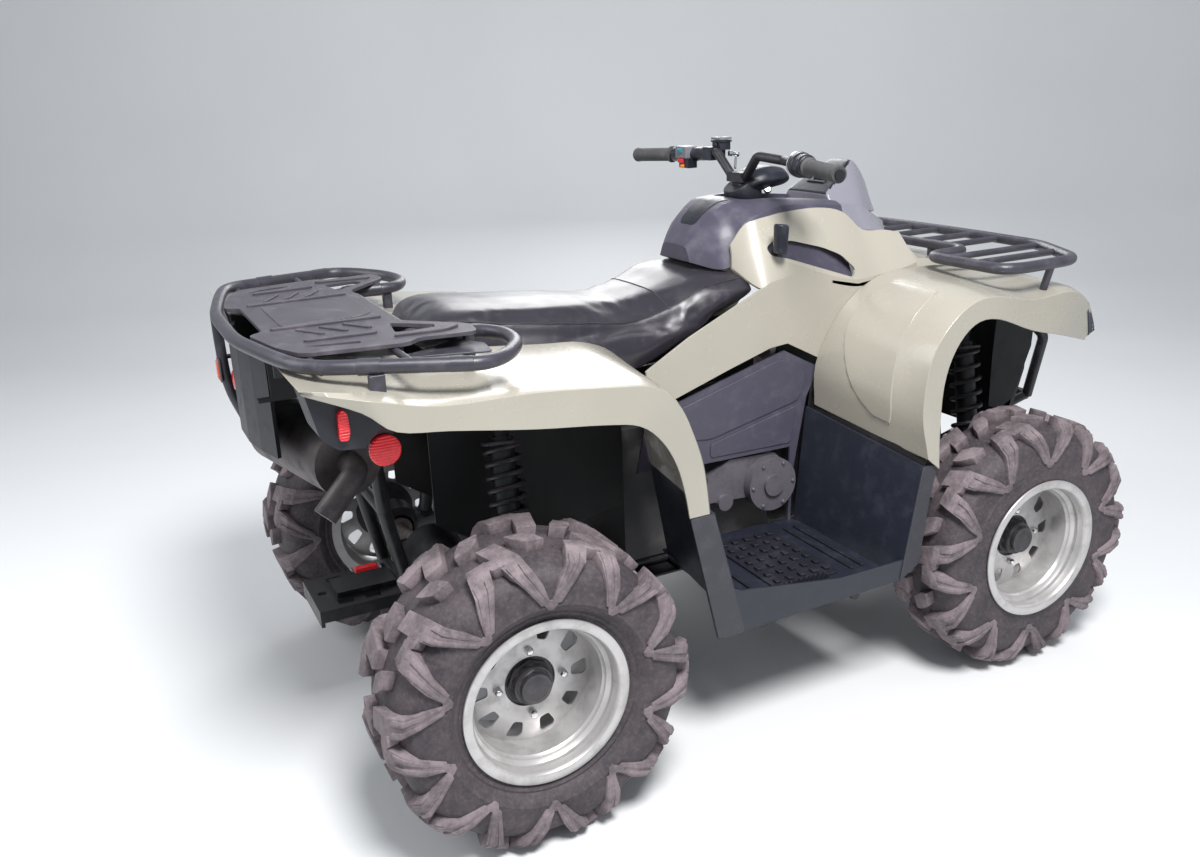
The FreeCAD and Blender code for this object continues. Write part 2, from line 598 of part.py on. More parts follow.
def shock(top, foot):
    axis = (Vector(*foot) - Vector(*top))
    body = Part.makeCylinder(26, axis.Length * 0.5, Vector(*top) + axis * 0.06, axis)
    rod_part = Part.makeCylinder(17, axis.Length * 0.96, Vector(*top) + axis * 0.02, axis)
    eyes = [rod((p[0], p[1] - 14, p[2]), (p[0], p[1] + 14, p[2]), 16) for p in (top, foot)]
    return fuse([body, rod_part] + eyes)


parts["rear_arms"] = both(rear)
parts["front_shocks"] = both(shock((FRONT_X + 90.5, -200, 760), (FRONT_X + 52.5, -318, 272)).cut(low_arm))
parts["rear_shocks"] = both(shock((-560, -205, 735), (-585, -325, 362)).cut(rear))


# Steering: column, knuckles and tie rods
def steering_column():
    bar = Part.makeCylinder(COLUMN_R, (COLUMN_TOP - COLUMN_FOOT).Length, COLUMN_FOOT, column_way)
    end = COLUMN_FOOT + across * PITMAN_ARM
    width = Vector(0, PITMAN_Y + 12, 0)
    face = Part.Face(polygon([tuple(COLUMN_FOOT - Vector(0, 20, 0) - across * 16), tuple(end - width), tuple(end - width + across * 14),
                              tuple(end + width + across * 14), tuple(end + width), tuple(COLUMN_FOOT + Vector(0, 20, 0) - across * 16)]))
    pitman = face.extrude(column_way * PITMAN_THICK)
    return fuse([bar, pitman])


parts["steering_column"] = [steering_column()]


def knuckle():
    y = -KINGPIN_Y
    face = -KINGPIN_Y - 8
    plate = side_plate([(FRONT_X - 32, 250), (FRONT_X + 32, 250), (FRONT_X + 45, 312), (FRONT_X + 30, 375),
                        (FRONT_X - 30, 375), (FRONT_X - 45, 312)], face - 22, face + 4)
    low = rod((FRONT_X, y, KINGPIN_LOW_Z + ARM_EYE_R + SEAT_GAP), (FRONT_X, y, KINGPIN_LOW_Z + 42), 12)
    top = rod((FRONT_X, y, KINGPIN_TOP_Z - ARM_EYE_R - SEAT_GAP), (FRONT_X, y, KINGPIN_TOP_Z - 42), 12)
    arm = side_plate([(FRONT_X - STEER_ARM - 14, ROD_Z - 34), (FRONT_X - 30, ROD_Z - 60), (FRONT_X - 30, ROD_Z - 12 - SEAT_GAP),
                      (FRONT_X - STEER_ARM - 14, ROD_Z - 12 - SEAT_GAP)], y - 12, y + 12)
    shape = fuse([plate, low, top, arm])
    return shape.cut(rod((FRONT_X, -380, TYRE_R), (FRONT_X, -450, TYRE_R), SPINDLE_R + FIT_GAP))


pair("knuckle", knuckle())
rod_end = (FRONT_X - STEER_ARM, -KINGPIN_Y, ROD_Z)
rod_eye = rod((rod_end[0], rod_end[1], ROD_Z - 12), (rod_end[0], rod_end[1], ROD_Z + 12), 12)
inner_x = COLUMN_FOOT.x + across.x * PITMAN_ARM
tie = fuse([rod_eye, rod(rod_end, (inner_x, -PITMAN_Y, ROD_Z + 4), 8)])
pair("tie_rod", tie)

# Handlebar with its pod, grips and controls
bar_run = [(176, 0, 1179), (176, -30, 1179), (170, -86, 1232), (190, -160, 1224), (132, -436, 1213)]
bar = pipe(bar_run, 11, 18)
clamp = box(160, 192, -30, 30, 1167.5, 1190)
parts["handlebar"] = [fuse(both(bar) + [clamp])]
# columns: x, half width, top, height of the widest line, bottom
POD = [(165, 26, 1164, 1150, 1138), (192 + SEAT_GAP, 50, 1190, 1164, 1140), (240, 56, 1198, 1172, 1149),
       (285, 44, 1192, 1170, 1155), (308, 24, 1178, 1168, 1158)]
pod_sections = []
for x, wide, top, middle, low in POD:
    half = [(0.7 * wide, top), (wide, middle), (0.6 * wide, low)]
    pod_sections.append([(x, y, z) for y, z in half + [(-y, z) for y, z in reversed(half)]])
neck = Part.makeCylinder(NECK_R, NECK_LENGTH, COLUMN_TOP - column_way * NECK_LENGTH, column_way)
pod = loft(pod_sections).fuse(neck).cut(parts["handlebar"][0]).cut(parts["steering_column"][0])
parts["handlebar_pod"] = [largest(pod)]


def along_grip(y):
    return (190 - 58 * (y - 160) / 276.0, -y, 1224 - 11 * (y - 160) / 276.0)


GRIP_Y = 290.0
grip = rod(along_grip(GRIP_Y), along_grip(432), 16).cut(rod(along_grip(250), along_grip(436), 11))
grip = grip.cut(rod(along_grip(426), along_grip(440), 6))
parts["grips"] = both(grip)
bar_hole = rod(along_grip(190), along_grip(330), 11)
switch = rod(along_grip(214), along_grip(GRIP_Y - 4), 17)
switch = switch.fuse(box(148, 186, -282, -218, 1206, 1240)).cut(bar_hole)
throttle = rod(along_grip(238), along_grip(GRIP_Y - 3), 28).fuse(box(150, 215, -266, -240, 1196, 1236)).cut(bar_hole)
throttle = throttle.fuse(rod((206, -250, 1200), (228, -300, 1196), 5)).cut(bar_hole)
perch = [box(160, 206, 100, 142, 1212, 1246), box(182, 217, 94, 134, 1240, 1268), rod((204, 128, 1226), (186, 400, 1221), 5)]
perch = largest(fuse(perch).cut(parts["handlebar"][0]))
parts["controls"] = [largest(throttle), mirrored(largest(switch)), perch]

# Wheels
RIM = [(RIM_LIP_R, RIM_EDGE), (RIM_LIP_R, RIM_EDGE - 5), (RIM_SEAT_R, RIM_EDGE - 7), (RIM_SEAT_R, 70), (RIM_WELL_R, 55),
       (RIM_WELL_R, -55), (RIM_SEAT_R, -70), (RIM_SEAT_R, -RIM_EDGE + 7), (RIM_LIP_R, -RIM_EDGE + 5), (RIM_LIP_R, -RIM_EDGE),
       (RIM_SEAT_R - RIM_SHEET, -RIM_EDGE), (RIM_SEAT_R - RIM_SHEET, -72), (RIM_WELL_R - RIM_SHEET, -57),
       (RIM_WELL_R - RIM_SHEET, RIM_DISC - 16), (88, RIM_DISC - 4), (RIM_BORE_R, RIM_DISC - 4), (RIM_BORE_R, RIM_DISC + 1),
       (88, RIM_DISC + 1), (RIM_WELL_R - RIM_SHEET, RIM_DISC - 11), (RIM_WELL_R - RIM_SHEET, 57), (RIM_SEAT_R - RIM_SHEET, 72),
       (RIM_SEAT_R - RIM_SHEET, RIM_EDGE)]


def carcass_profile(half):
    bead_w = RIM_EDGE - 7 - SEAT_GAP
    side = [(RIM_SEAT_R + SEAT_GAP, bead_w), (RIM_LIP_R + 6, bead_w), (RIM_LIP_R + 12, min(bead_w + 6, half - 8)),
            (TYRE_R - 80, half - 8), (TYRE_R - 50, half - 11), (TYRE_R - 30, half - 32), (TYRE_R - TREAD_DEPTH, half - 58)]
    return side + [(r, -w) for r, w in reversed(side)]


def wheel_point(centre, radius, angle, width):
    turn = math.radians(angle)
    return centre[0] + radius * math.cos(turn), centre[1] + width, centre[2] + radius * math.sin(turn)


def lug(centre, side, base, way, rows):
    """Bar of rubber through rows of: width, radius, width and radius of its root, turn, half spread."""
    sections = []
    for width, radius, root_w, root_r, turn, spread in rows:
        low = base + way * turn - spread
        high = base + way * turn + spread
        sections.append([wheel_point(centre, radius, low, side * width), wheel_point(centre, radius, high, side * width),
                         wheel_point(centre, root_r, high, side * root_w), wheel_point(centre, root_r, low, side * root_w)])
    return loft(sections)


def tyre(centre, half):
    """Carcass with V-shaped pairs of bars down each shoulder and blocks in the middle."""
    step = 360 / LUG_PITCHES
    root = TYRE_R - TREAD_DEPTH - 7
    lugs = []
    for side, phase in ((-1, 0.5), (1, 0.0)):
        for pitch in range(LUG_PITCHES):
            base = 270 + (pitch + phase) * step
            lugs.append(lug(centre, side, base, 1, [
                (4, CROWN_R - 0.6, 4, root, 1.0, LUG_SPREAD - 0.4), (24, CROWN_R, 24, root, 0, LUG_SPREAD),
                (44, CROWN_R - 0.6, 44, root, -1.2, LUG_SPREAD - 0.8)]))
            for way, inner, lean in ((1, 16, 15.5), (-1, half - 68, 13.5)):
                lugs.append(lug(centre, side, base - 2, way, [
                    (inner, CROWN_R - 0.6, inner, root, lean, 3.0), (half - 40, CROWN_R - 0.8, half - 52, root - 2, 12.5, 3.1),
                    (half - 9, TYRE_R - 22, half - 28, TYRE_R - 38, 10.6, 2.9), (half, TYRE_R - 52, half - 22, TYRE_R - 56, 7.4, 2.6),
                    (half - 2, TYRE_R - 92, half - 20, TYRE_R - 92, 2.2, 1.6)]))
    return turned(carcass_profile(half), centre).fuse(lugs)


def rim(centre, side):
    """Turned rim with its windows cut through the disc."""
    wheel = turned(outward(RIM, side), centre)
    shape = [(-13, -8), (-13, 8), (7, 13), (14, 9), (14, -9), (7, -13)]
    for window in range(WINDOWS):
        turn = math.radians(34.5 + 360 / WINDOWS * window)
        corners = []
        for out, along in shape:
            corners.append((centre[0] + (WINDOW_R + out) * math.cos(turn) - along * math.sin(turn),
                            centre[1] - 40, centre[2] + (WINDOW_R + out) * math.sin(turn) + along * math.cos(turn)))
        wheel = wheel.cut(Part.Face(polygon(corners)).extrude(Vector(0, 80, 0)))
    return wheel


def outward(profile, side):
    return [(r, side * w) for r, w in profile]


WHEELS = [("front_right", FRONT_X, FRONT_Y, -1, FRONT_TYRE_W), ("front_left", FRONT_X, FRONT_Y, 1, FRONT_TYRE_W),
          ("rear_right", REAR_X, REAR_Y, -1, REAR_TYRE_W), ("rear_left", REAR_X, REAR_Y, 1, REAR_TYRE_W)]
for name, x, y, side, width in WHEELS:
    centre = (x, side * y, TYRE_R)
    if side < 0:
        parts["tyre_" + name] = [tyre(centre, width / 2)]
        parts["rim_" + name] = [rim(centre, side)]
    else:
        parts["tyre_" + name] = [mirrored(parts["tyre_" + name.replace("left", "right")][0])]
        parts["rim_" + name] = [mirrored(parts["rim_" + name.replace("left", "right")][0])]
    flange = y + RIM_DISC - 4 - SEAT_GAP
    inner = KINGPIN_Y + 4 if x > 0 else 400
    hub = fuse([rod((x, side * inner, TYRE_R), (x, side * flange, TYRE_R), SPINDLE_R),
                rod((x, side * (flange - 9), TYRE_R), (x, side * flange, TYRE_R), 78),
                rod((x, side * flange, TYRE_R), (x, side * (flange + 26), TYRE_R), 40),
                rod((x, side * (flange + 26), TYRE_R), (x, side * (flange + 40), TYRE_R), 31)])
    parts["hub_" + name] = [hub]

for name, solids in parts.items():
    shape = solids[0] if len(solids) == 1 else Part.makeCompound(solids)
    shape.exportStep("parts/" + name + ".step")
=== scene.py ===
import math

import bmesh
import bpy
from mathutils import Matrix, Vector
from mathutils.bvhtree import BVHTree


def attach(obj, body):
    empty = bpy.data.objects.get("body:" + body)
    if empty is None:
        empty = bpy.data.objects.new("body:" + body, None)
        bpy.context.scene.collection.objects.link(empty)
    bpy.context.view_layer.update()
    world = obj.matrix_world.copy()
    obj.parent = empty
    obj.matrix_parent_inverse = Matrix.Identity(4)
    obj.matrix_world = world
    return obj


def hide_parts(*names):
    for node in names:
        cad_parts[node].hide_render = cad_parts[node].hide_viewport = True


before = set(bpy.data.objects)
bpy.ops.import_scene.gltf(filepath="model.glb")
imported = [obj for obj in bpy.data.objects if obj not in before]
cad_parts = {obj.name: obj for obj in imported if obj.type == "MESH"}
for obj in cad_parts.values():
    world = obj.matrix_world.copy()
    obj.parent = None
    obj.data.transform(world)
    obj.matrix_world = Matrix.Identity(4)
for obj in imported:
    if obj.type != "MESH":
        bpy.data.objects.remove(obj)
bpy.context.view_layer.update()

# Camera where the photographer stood: behind and to the right of the quad, with its lens about
# 1.4 metres over the floor. It looks down a little, towards the footwell. Angles in radians.
FOCAL_PX, PHOTO_PX, SENSOR_MM = 1071.87, 1200, 36
yaw, pitch, roll = 1.1158, -0.3206, -0.0394
ahead = Vector((math.cos(pitch) * math.cos(yaw), math.cos(pitch) * math.sin(yaw), math.sin(pitch)))
rightward = Vector((math.sin(yaw), -math.cos(yaw), 0))
upward = rightward.cross(ahead)
lens = bpy.data.cameras.new("camera")
lens.sensor_width = SENSOR_MM
lens.lens = FOCAL_PX / PHOTO_PX * SENSOR_MM
camera = bpy.data.objects.new("camera", lens)
side_axis = rightward * math.cos(roll) + upward * math.sin(roll)
top_axis = upward * math.cos(roll) - rightward * math.sin(roll)
stand = Matrix((side_axis, top_axis, -ahead)).transposed().to_4x4()
stand.translation = (-1.3108, -2.2205, 1.4306)
camera.matrix_world = stand
bpy.context.collection.objects.link(camera)
bpy.context.scene.camera = camera


# Studio: a pale floor that curves up behind the quad, one large soft lamp above on the right,
# a weaker one from the left, and an even pale surround.
class Wire:
    """One shader socket; sums and products of wires make Math nodes."""

    def __init__(self, tree, socket):
        self.tree = tree
        self.socket = socket

    def maths(self, operation, first, second):
        node = self.tree.nodes.new("ShaderNodeMath")
        node.operation = operation
        for place, value in zip(node.inputs, (first, second)):
            if isinstance(value, Wire):
                self.tree.links.new(value.socket, place)
            else:
                place.default_value = value
        return Wire(self.tree, node.outputs[0])

    def __add__(self, other):
        return self.maths("ADD", self, other)

    def __radd__(self, other):
        return self.maths("ADD", other, self)

    def __mul__(self, other):
        return self.maths("MULTIPLY", self, other)

    def __rmul__(self, other):
        return self.maths("MULTIPLY", other, self)


class Paint:
    """A material being made: nodes by type, settings and socket values, and the finish at the end."""

    def __init__(self, name):
        self.material = bpy.data.materials.new(name)
        self.material.use_nodes = True
        self.tree = self.material.node_tree
        self.shader = self.tree.nodes["Principled BSDF"]
        self.place = self.node("TexCoord", "Object")

    def node(self, kind, output, settings=None, values=None):
        node = self.tree.nodes.new("ShaderNode" + kind)
        for name, value in (settings or {}).items():
            setattr(node, name, value)
        for name, value in (values or {}).items():
            self.feed(node.inputs[name], value)
        return Wire(self.tree, node.outputs[output])

    def feed(self, socket, value):
        if isinstance(value, Wire):
            self.tree.links.new(value.socket, socket)
        elif isinstance(value, tuple) and len(value) == 3 and socket.type == "RGBA":
            socket.default_value = (*value, 1)
        else:
            socket.default_value = value

    def noise(self, scale, detail=3, roughness=0.5, stretch=None):
        place = self.place
        if stretch:
            place = self.node("Mapping", "Vector", None, {"Vector": place, "Scale": stretch})
        values = {"Vector": place, "Scale": scale, "Detail": detail, "Roughness": roughness}
        return self.node("TexNoise", "Fac", None, values)

    def cells(self, scale):
        return self.node("TexVoronoi", "Distance", {"feature": "F1"}, {"Vector": self.place, "Scale": scale})

    def between(self, value, low, high):
        values = {"Value": value, "From Min": low, "From Max": high}
        return self.node("MapRange", "Result", {"interpolation_type": "SMOOTHSTEP"}, values)

    def blend(self, factor, first, second):
        node = self.tree.nodes.new("ShaderNodeMix")
        node.data_type = "RGBA"
        self.feed(node.inputs[0], factor)
        self.feed(node.inputs[6], first)
        self.feed(node.inputs[7], second)
        return Wire(self.tree, node.outputs[2])

    def raised(self, *layers):
        """Bumps from pairs of height wire and depth in metres, one over the other."""
        normal = None
        for height, depth in layers:
            values = {"Height": height, "Distance": depth, "Strength": 1.0}
            if normal:
                values["Normal"] = normal
            normal = self.node("Bump", "Normal", None, values)
        self.feed(self.shader.inputs["Normal"], normal)

    def finish(self, **values):
        for name, value in values.items():
            self.feed(self.shader.inputs[name.replace("_", " ")], value)
        return self.material


def studio_floor():
    outline = [(-14, 0.0), (3.2, 0.0), (4.0, 0.12), (4.7, 0.5), (5.1, 1.2), (5.2, 2.2), (5.2, 9.0)]
    mesh = bpy.data.meshes.new("studio_floor")
    depth = Vector((math.cos(yaw), math.sin(yaw), 0))
    points = [depth * along + Vector((0, 0, up)) + rightward * wide for along, up in outline
              for wide in (-16, 16)]
    faces = [(2 * n, 2 * n + 1, 2 * n + 3, 2 * n + 2) for n in range(len(outline) - 1)]
    mesh.from_pydata(points, [], faces)
    mesh.shade_smooth()
    floor = bpy.data.objects.new("studio_floor", mesh)
    bpy.context.collection.objects.link(floor)
    paint = Paint("studio_floor")
    tone = paint.between(paint.noise(0.6), 0.3, 0.7)
    colour = paint.blend(tone, (0.70, 0.71, 0.72), (0.73, 0.735, 0.74))
    mesh.materials.append(paint.finish(Base_Color=colour, Roughness=0.85))


def lamp(name, place, aim, size, power):
    light = bpy.data.lights.new(name, "AREA")
    light.shape = "DISK"
    light.size = size
    light.energy = power
    holder = bpy.data.objects.new(name, light)
    holder.location = place
    holder.rotation_euler = (Vector(aim) - Vector(place)).to_track_quat("-Z", "Y").to_euler()
    bpy.context.collection.objects.link(holder)


studio_floor()
lamp("key_lamp", (-0.6, -2.3, 3.7), (0, 0, 0.5), 1.3, 225)
lamp("rim_lamp", (1.7, 3.4, 2.5), (0, 0, 0.8), 2.2, 55)
lamp("fill_lamp", (-3.2, 1.0, 2.6), (0, 0, 0.6), 2.4, 45)
surround = bpy.data.worlds.new("surround")
surround.use_nodes = True
surround.node_tree.nodes["Background"].inputs[0].default_value = (0.86, 0.92, 1.0, 1)
surround.node_tree.nodes["Background"].inputs[1].default_value = 0.45
bpy.context.scene.world = surround
bpy.context.scene.view_settings.view_transform = "Standard"


# Body panels: sand-coloured moulded plastic, screwed to the frame; hood, fenders and side panels
# share it. Its gloss is broken by a faint flow in the colour and by light dust.
def glossy_plastic(name, light, dark, dusty=0.5):
    paint = Paint(name)
    drift = paint.between(paint.noise(3.5, 4), 0.35, 0.7)
    dust = paint.between(paint.noise(38, 6, 0.7), 0.52, 0.8) * dusty
    colour = paint.blend(dust * 0.12, paint.blend(drift, light, dark), (0.42, 0.39, 0.34))
    paint.raised((paint.noise(260, 2), 0.00012), (paint.noise(9, 2), 0.0004))
    return paint.finish(Base_Color=colour, Roughness=0.24 + dust * 0.3 + drift * 0.06, Coat_Weight=0.35,
                        Coat_Roughness=0.12, Specular_IOR_Level=0.5)


def grained_plastic(name, light, dark, rough=0.5, grain=900, depth=0.00012):
    """Moulded plastic with a leather-like grain and dust lying in it."""
    paint = Paint(name)
    pits = paint.cells(grain)
    dust = paint.between(paint.noise(24, 6, 0.65), 0.45, 0.75)
    colour = paint.blend(dust, dark, light)
    paint.raised((pits, depth), (paint.noise(60, 4), 0.0002))
    return paint.finish(Base_Color=colour, Roughness=rough + dust * 0.16)


SAND = glossy_plastic("sand_plastic", (0.375, 0.350, 0.295), (0.345, 0.322, 0.270), 0.22)
BLACK = grained_plastic("black_plastic", (0.028, 0.028, 0.037), (0.012, 0.013, 0.019), 0.42)
STRIP = grained_plastic("grey_grained_plastic", (0.060, 0.060, 0.070), (0.038, 0.038, 0.047), 0.58, 420, 0.0007)
VIOLET = grained_plastic("console_plastic", (0.088, 0.080, 0.112), (0.060, 0.055, 0.080), 0.34)
COWL_GREY = glossy_plastic("cowl_plastic", (0.235, 0.228, 0.268), (0.205, 0.198, 0.236), 0.2)


def catmull(before, start, end, after, t):
    """Point on the smooth curve through four, between the middle two."""
    square, cube = t * t, t * t * t
    return [0.5 * (2 * q + (r - p) * t + (2 * p - 5 * q + 4 * r - s) * square + (3 * q - p - 3 * r + s) * cube)
            for p, q, r, s in zip(before, start, end, after)]


def smoothed(rows, steps):
    """Rows of numbers with steps - 1 smooth rows between each two."""
    ends = [[2 * a - b for a, b in zip(rows[0], rows[1])]] + [list(row) for row in rows]
    ends.append([2 * a - b for a, b in zip(rows[-1], rows[-2])])
    filled = []
    for n in range(1, len(ends) - 2):
        filled += [catmull(*ends[n - 1:n + 3], k / steps) for k in range(steps)]
    return filled + [list(rows[-1])]


def bridged(form, rings):
    """Faces between each ring of vertices and the next."""
    count = len(rings[0])
    for first, second in zip(rings, rings[1:]):
        for n in range(count):
            form.faces.new((first[n], first[(n + 1) % count], second[(n + 1) % count], second[n]))


def lofted(sections, target=None):
    """Closed solid through rings of points in millimetres."""
    form = target or bmesh.new()
    rings = [[form.verts.new(Vector(point) / 1000) for point in ring] for ring in sections]
    bridged(form, rings)
    form.faces.new(rings[0])
    form.faces.new(rings[-1])
    bmesh.ops.recalc_face_normals(form, faces=form.faces)
    return form


def rounded(outline, radius, steps=3):
    """Outline with its corners cut to arcs; a corner with short sides gets a smaller one."""
    result = []
    for n, corner in enumerate(outline):
        here = Vector(corner)
        back = Vector(outline[n - 1]) - here
        on = Vector(outline[(n + 1) % len(outline)]) - here
        reach = min(radius, back.length * 0.45, on.length * 0.45)
        start, end = here + back.normalized() * reach, here + on.normalized() * reach
        for k in range(steps + 1):
            t = k / steps
            result.append(tuple(start * (1 - t) ** 2 + here * 2 * t * (1 - t) + end * t * t))
    return result


def slab(outline, low, high, plane="xz", target=None):
    """Plate with a flat outline: drawn in the side view (xz) or in plan (xy)."""
    if plane == "xz":
        rings = [[(x, level, z) for x, z in outline] for level in (low, high)]
    else:
        rings = [[(x, y, level) for x, y in outline] for level in (low, high)]
    return lofted(rings, target)


def block(x0, x1, y0, y1, z0, z1, target=None):
    return slab([(x0, y0), (x1, y0), (x1, y1), (x0, y1)], z0, z1, "xy", target)


def settle(obj):
    """The object's mesh with its modifiers worked in."""
    mesh = bpy.data.meshes.new_from_object(obj.evaluated_get(bpy.context.evaluated_depsgraph_get()))
    obj.modifiers.clear()
    old = obj.data
    obj.data = mesh
    bpy.data.meshes.remove(old)


def placed(name, form):
    """New object with the form as its mesh."""
    mesh = bpy.data.meshes.new(name)
    form.to_mesh(mesh)
    obj = bpy.data.objects.new(name, mesh)
    bpy.context.collection.objects.link(obj)
    return obj


def taken(obj):
    """The object's mesh as a form; the object is removed."""
    form = bmesh.new()
    form.from_mesh(obj.data)
    bpy.data.objects.remove(obj)
    return form


def cut_by(obj, helper):
    cut = obj.modifiers.new("cut", "BOOLEAN")
    cut.solver = "EXACT"
    cut.object = helper


def eased(obj, bevel, segments, angle):
    """Rounds the edges that turn by more than an angle in degrees."""
    edge = obj.modifiers.new("edge", "BEVEL")
    edge.width = bevel / 1000
    edge.segments = segments
    edge.limit_method = "ANGLE"
    edge.angle_limit = math.radians(angle)


MIRROR = (1, -1, 1)
SIDES = ((-1, "right"), (1, "left"))
CREASE = math.radians(38)


def given(obj, body, replaces):
    """The object, given to its body and the nodes that it stands for."""
    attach(obj, body)
    if replaces:
        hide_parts(*replaces)
    return obj


def piece(name, form, material, slot, body="chassis", bevel=0.0, segments=2, angle=28, replaces=(), cutters=(),
          mirror=False):
    """A finished piece from a form: cut, edges rounded, shaded, painted and given to its body."""
    form = form.copy()
    if mirror:
        bmesh.ops.scale(form, verts=form.verts, vec=MIRROR)
    bmesh.ops.recalc_face_normals(form, faces=form.faces)
    obj = placed(name, form)
    form.free()
    for helper in cutters:
        cut_by(obj, helper)
        helper.scale = MIRROR if mirror else (1, 1, 1)
        bpy.context.view_layer.update()
    if bevel:
        eased(obj, bevel, segments, angle)
        obj.data.shade_smooth()
        obj.modifiers.new("crisp", "WEIGHTED_NORMAL").weight = 80
    if obj.modifiers:
        settle(obj)
    if not bevel:
        obj.data.shade_smooth()
        obj.data.set_sharp_from_angle(angle=CREASE)
    obj.data.name = name
    obj.data.materials.clear()
    obj.data.materials.append(material)
    return given(obj, body, replaces)


def pair(name, form, *args, replaces=(), **options):
    """The right-hand piece and its mirror image."""
    for side, label in SIDES:
        nodes = tuple(f"{node}_{label}" for node in replaces)
        piece(f"{name}_{label}", form, *args, replaces=nodes, mirror=side > 0, **options)


AXLE_X, AXLE_Z = 647.5, 312


def polar(radius, angle, y, x=0, z=0):
    """Point at a radius and an angle in degrees about a level axis."""
    turn = math.radians(angle)
    return (x + radius * math.cos(turn), y, z + radius * math.sin(turn))


def fender(rows, axle, crest_y, inner_y, drop, foot=None):
    """Fender skin through rows of: angle, radius of lip, crest and inner edge, y of the lip."""
    skin = 5

    def section(lip, crest, inner, lip_y):
        return [(lip, lip_y), (crest - drop, lip_y), (crest, crest_y), (inner, inner_y),
                (inner - skin, inner_y), (crest - skin - 1, crest_y + 2),
                (max(crest - drop - 3, lip + 1), lip_y + skin), (lip, lip_y + skin)]

    rings = []
    if foot:
        rings.append([(x, y, foot[0]) for x, y in section(*foot[1:])])
    for angle, *row in rows:
        rings.append([polar(r, angle, y, axle, AXLE_Z) for r, y in section(*row)])
    flat_rows = smoothed([[value for point in ring for value in point] for ring in rings], 4)
    return lofted([[tuple(row[n:n + 3]) for n in range(0, len(row), 3)] for row in flat_rows])


REAR_FENDER = [
    (43.0, 473, 541, 580, -530), (50.0, 506, 578, 626, -535), (57.0, 532, 615, 650, -542),
    (64.0, 544, 630, 642, -550), (72.0, 531, 611, 616, -550), (87.0, 523, 598, 602, -550),
    (103.0, 562, 618, 626, -550), (111.5, 605, 673, 672, -550), (114.5, 662, 698, 692, -540),
    (119.5, 734, 747, 745, -510)]
FRONT_FENDER = [
    (140.0, 383, 440, 520, -540), (132.5, 442, 532, 590, -540), (124.0, 528, 615, 632, -540),
    (117.5, 581, 651, 655, -540), (111.0, 606, 667, 664, -540), (104.5, 588, 655, 658, -538),
    (92.0, 523, 607, 634, -520), (78.0, 501, 618, 632, -500), (68.0, 502, 598, 625, -470),
    (62.0, 510, 548, 600, -455)]
CREST_Y = -462
rear_fender = fender(REAR_FENDER, -AXLE_X, -520, -212, 8, (580.3, -292, -238, -198, -530))
pair("rear_fender_panel", rear_fender, SAND, "body_tan", bevel=4, segments=3, angle=20,
     replaces=("rear_fender",))
front_fender = fender(FRONT_FENDER, AXLE_X, CREST_Y, -219.3, 12)
pair("front_fender_panel", front_fender, SAND, "body_tan", bevel=4, segments=3, angle=20,
     replaces=("front_fender",))


# Side panels: a flat skirt and a flank that leans in to the console, moulded in one.
# The right one is cut open for the gear lever's gate.
FLANK = [
    (60, 146, 990, 146, 1022, 140, 1043), (90, 212, 950, 168, 1026, 146, 1084),
    (120, 219, 955, 192, 1020, 150, 1095), (160, 219, 962, 210, 1005, 150, 1101),
    (200, 219, 970, 219, 989, 150, 1106), (295, 219, 938, 219, 955, 150, 1108),
    (371, 219, 921, 219, 938, 150, 1092), (437, 219, 926, 219, 943, 150, 1044),
    (505, 219, 933, 219, 950, 150, 1036), (552, 219, 943, 219, 960, 150, 1026)]
SKIRT = [
    (-205, 700), (-150, 722), (0, 770), (120, 806), (168, 810), (283, 749), (305, 800), (345, 850), (399, 905),
    (460, 930), (552, 950), (505, 942), (437, 934), (371, 928), (295, 945), (200, 976), (160, 968), (120, 961),
    (88, 946), (-100, 862), (-213, 800)]
panel = slab(SKIRT, -219, -213)
rings = []
for x, foot_y, foot, ridge_y, ridge, top_y, top in smoothed(FLANK, 4):
    outer = [(x, -foot_y, foot), (x, -ridge_y, ridge), (x, -top_y, top)]
    rings.append(outer + [(px, y + 6, z - 3) for px, y, z in reversed(outer)])
lofted(rings, panel)
GATE = [(126, 1034), (134, 1016), (166, 1010), (361, 943), (371, 962), (336, 998), (284, 1020),
        (197, 1044), (150, 1050)]
gate_cut = placed("gate_cut", slab(rounded(GATE, 14), -245, -120))
for side, label in SIDES:
    piece(f"side_panel_{label}_skin", panel, SAND, "body_tan", bevel=2.5, angle=24,
          replaces=(f"side_panel_{label}",), cutters=(gate_cut,) if side < 0 else (), mirror=side > 0)
bpy.data.objects.remove(gate_cut)

# Hood: the sand-coloured cover from the handlebar's cowl down to the nose, under the front rack,
# one moulding that is clipped to the fenders.
# Columns: x, top, bottom, half width of the top, half width of the bottom.
def arched(x, half):
    """Ring across the quad from one half of it, which starts at the middle."""
    return [(x, -y, z) for y, z in reversed(half[1:])] + [(x, y, z) for y, z in half]


def cover(rows, steps):
    return lofted([arched(x, [(0, top), (0.6 * wide, top), (wide, top - 1), (foot, low)])
                   for x, top, low, wide, foot in smoothed(rows, steps)])


HOOD = [(392, 1044, 985, 146, 178), (437, 1044, 985, 148, 180), (505, 1033, 964, 148, 196),
        (548, 1025, 950, 148, 206), (598, 960, 928, 170, 217), (779.5, 938, 900, 190, 217),
        (908, 872, 836, 190, 217)]
piece("hood_skin", cover(HOOD, 1), SAND, "body_tan", bevel=5, segments=3, angle=22, replaces=("hood",))

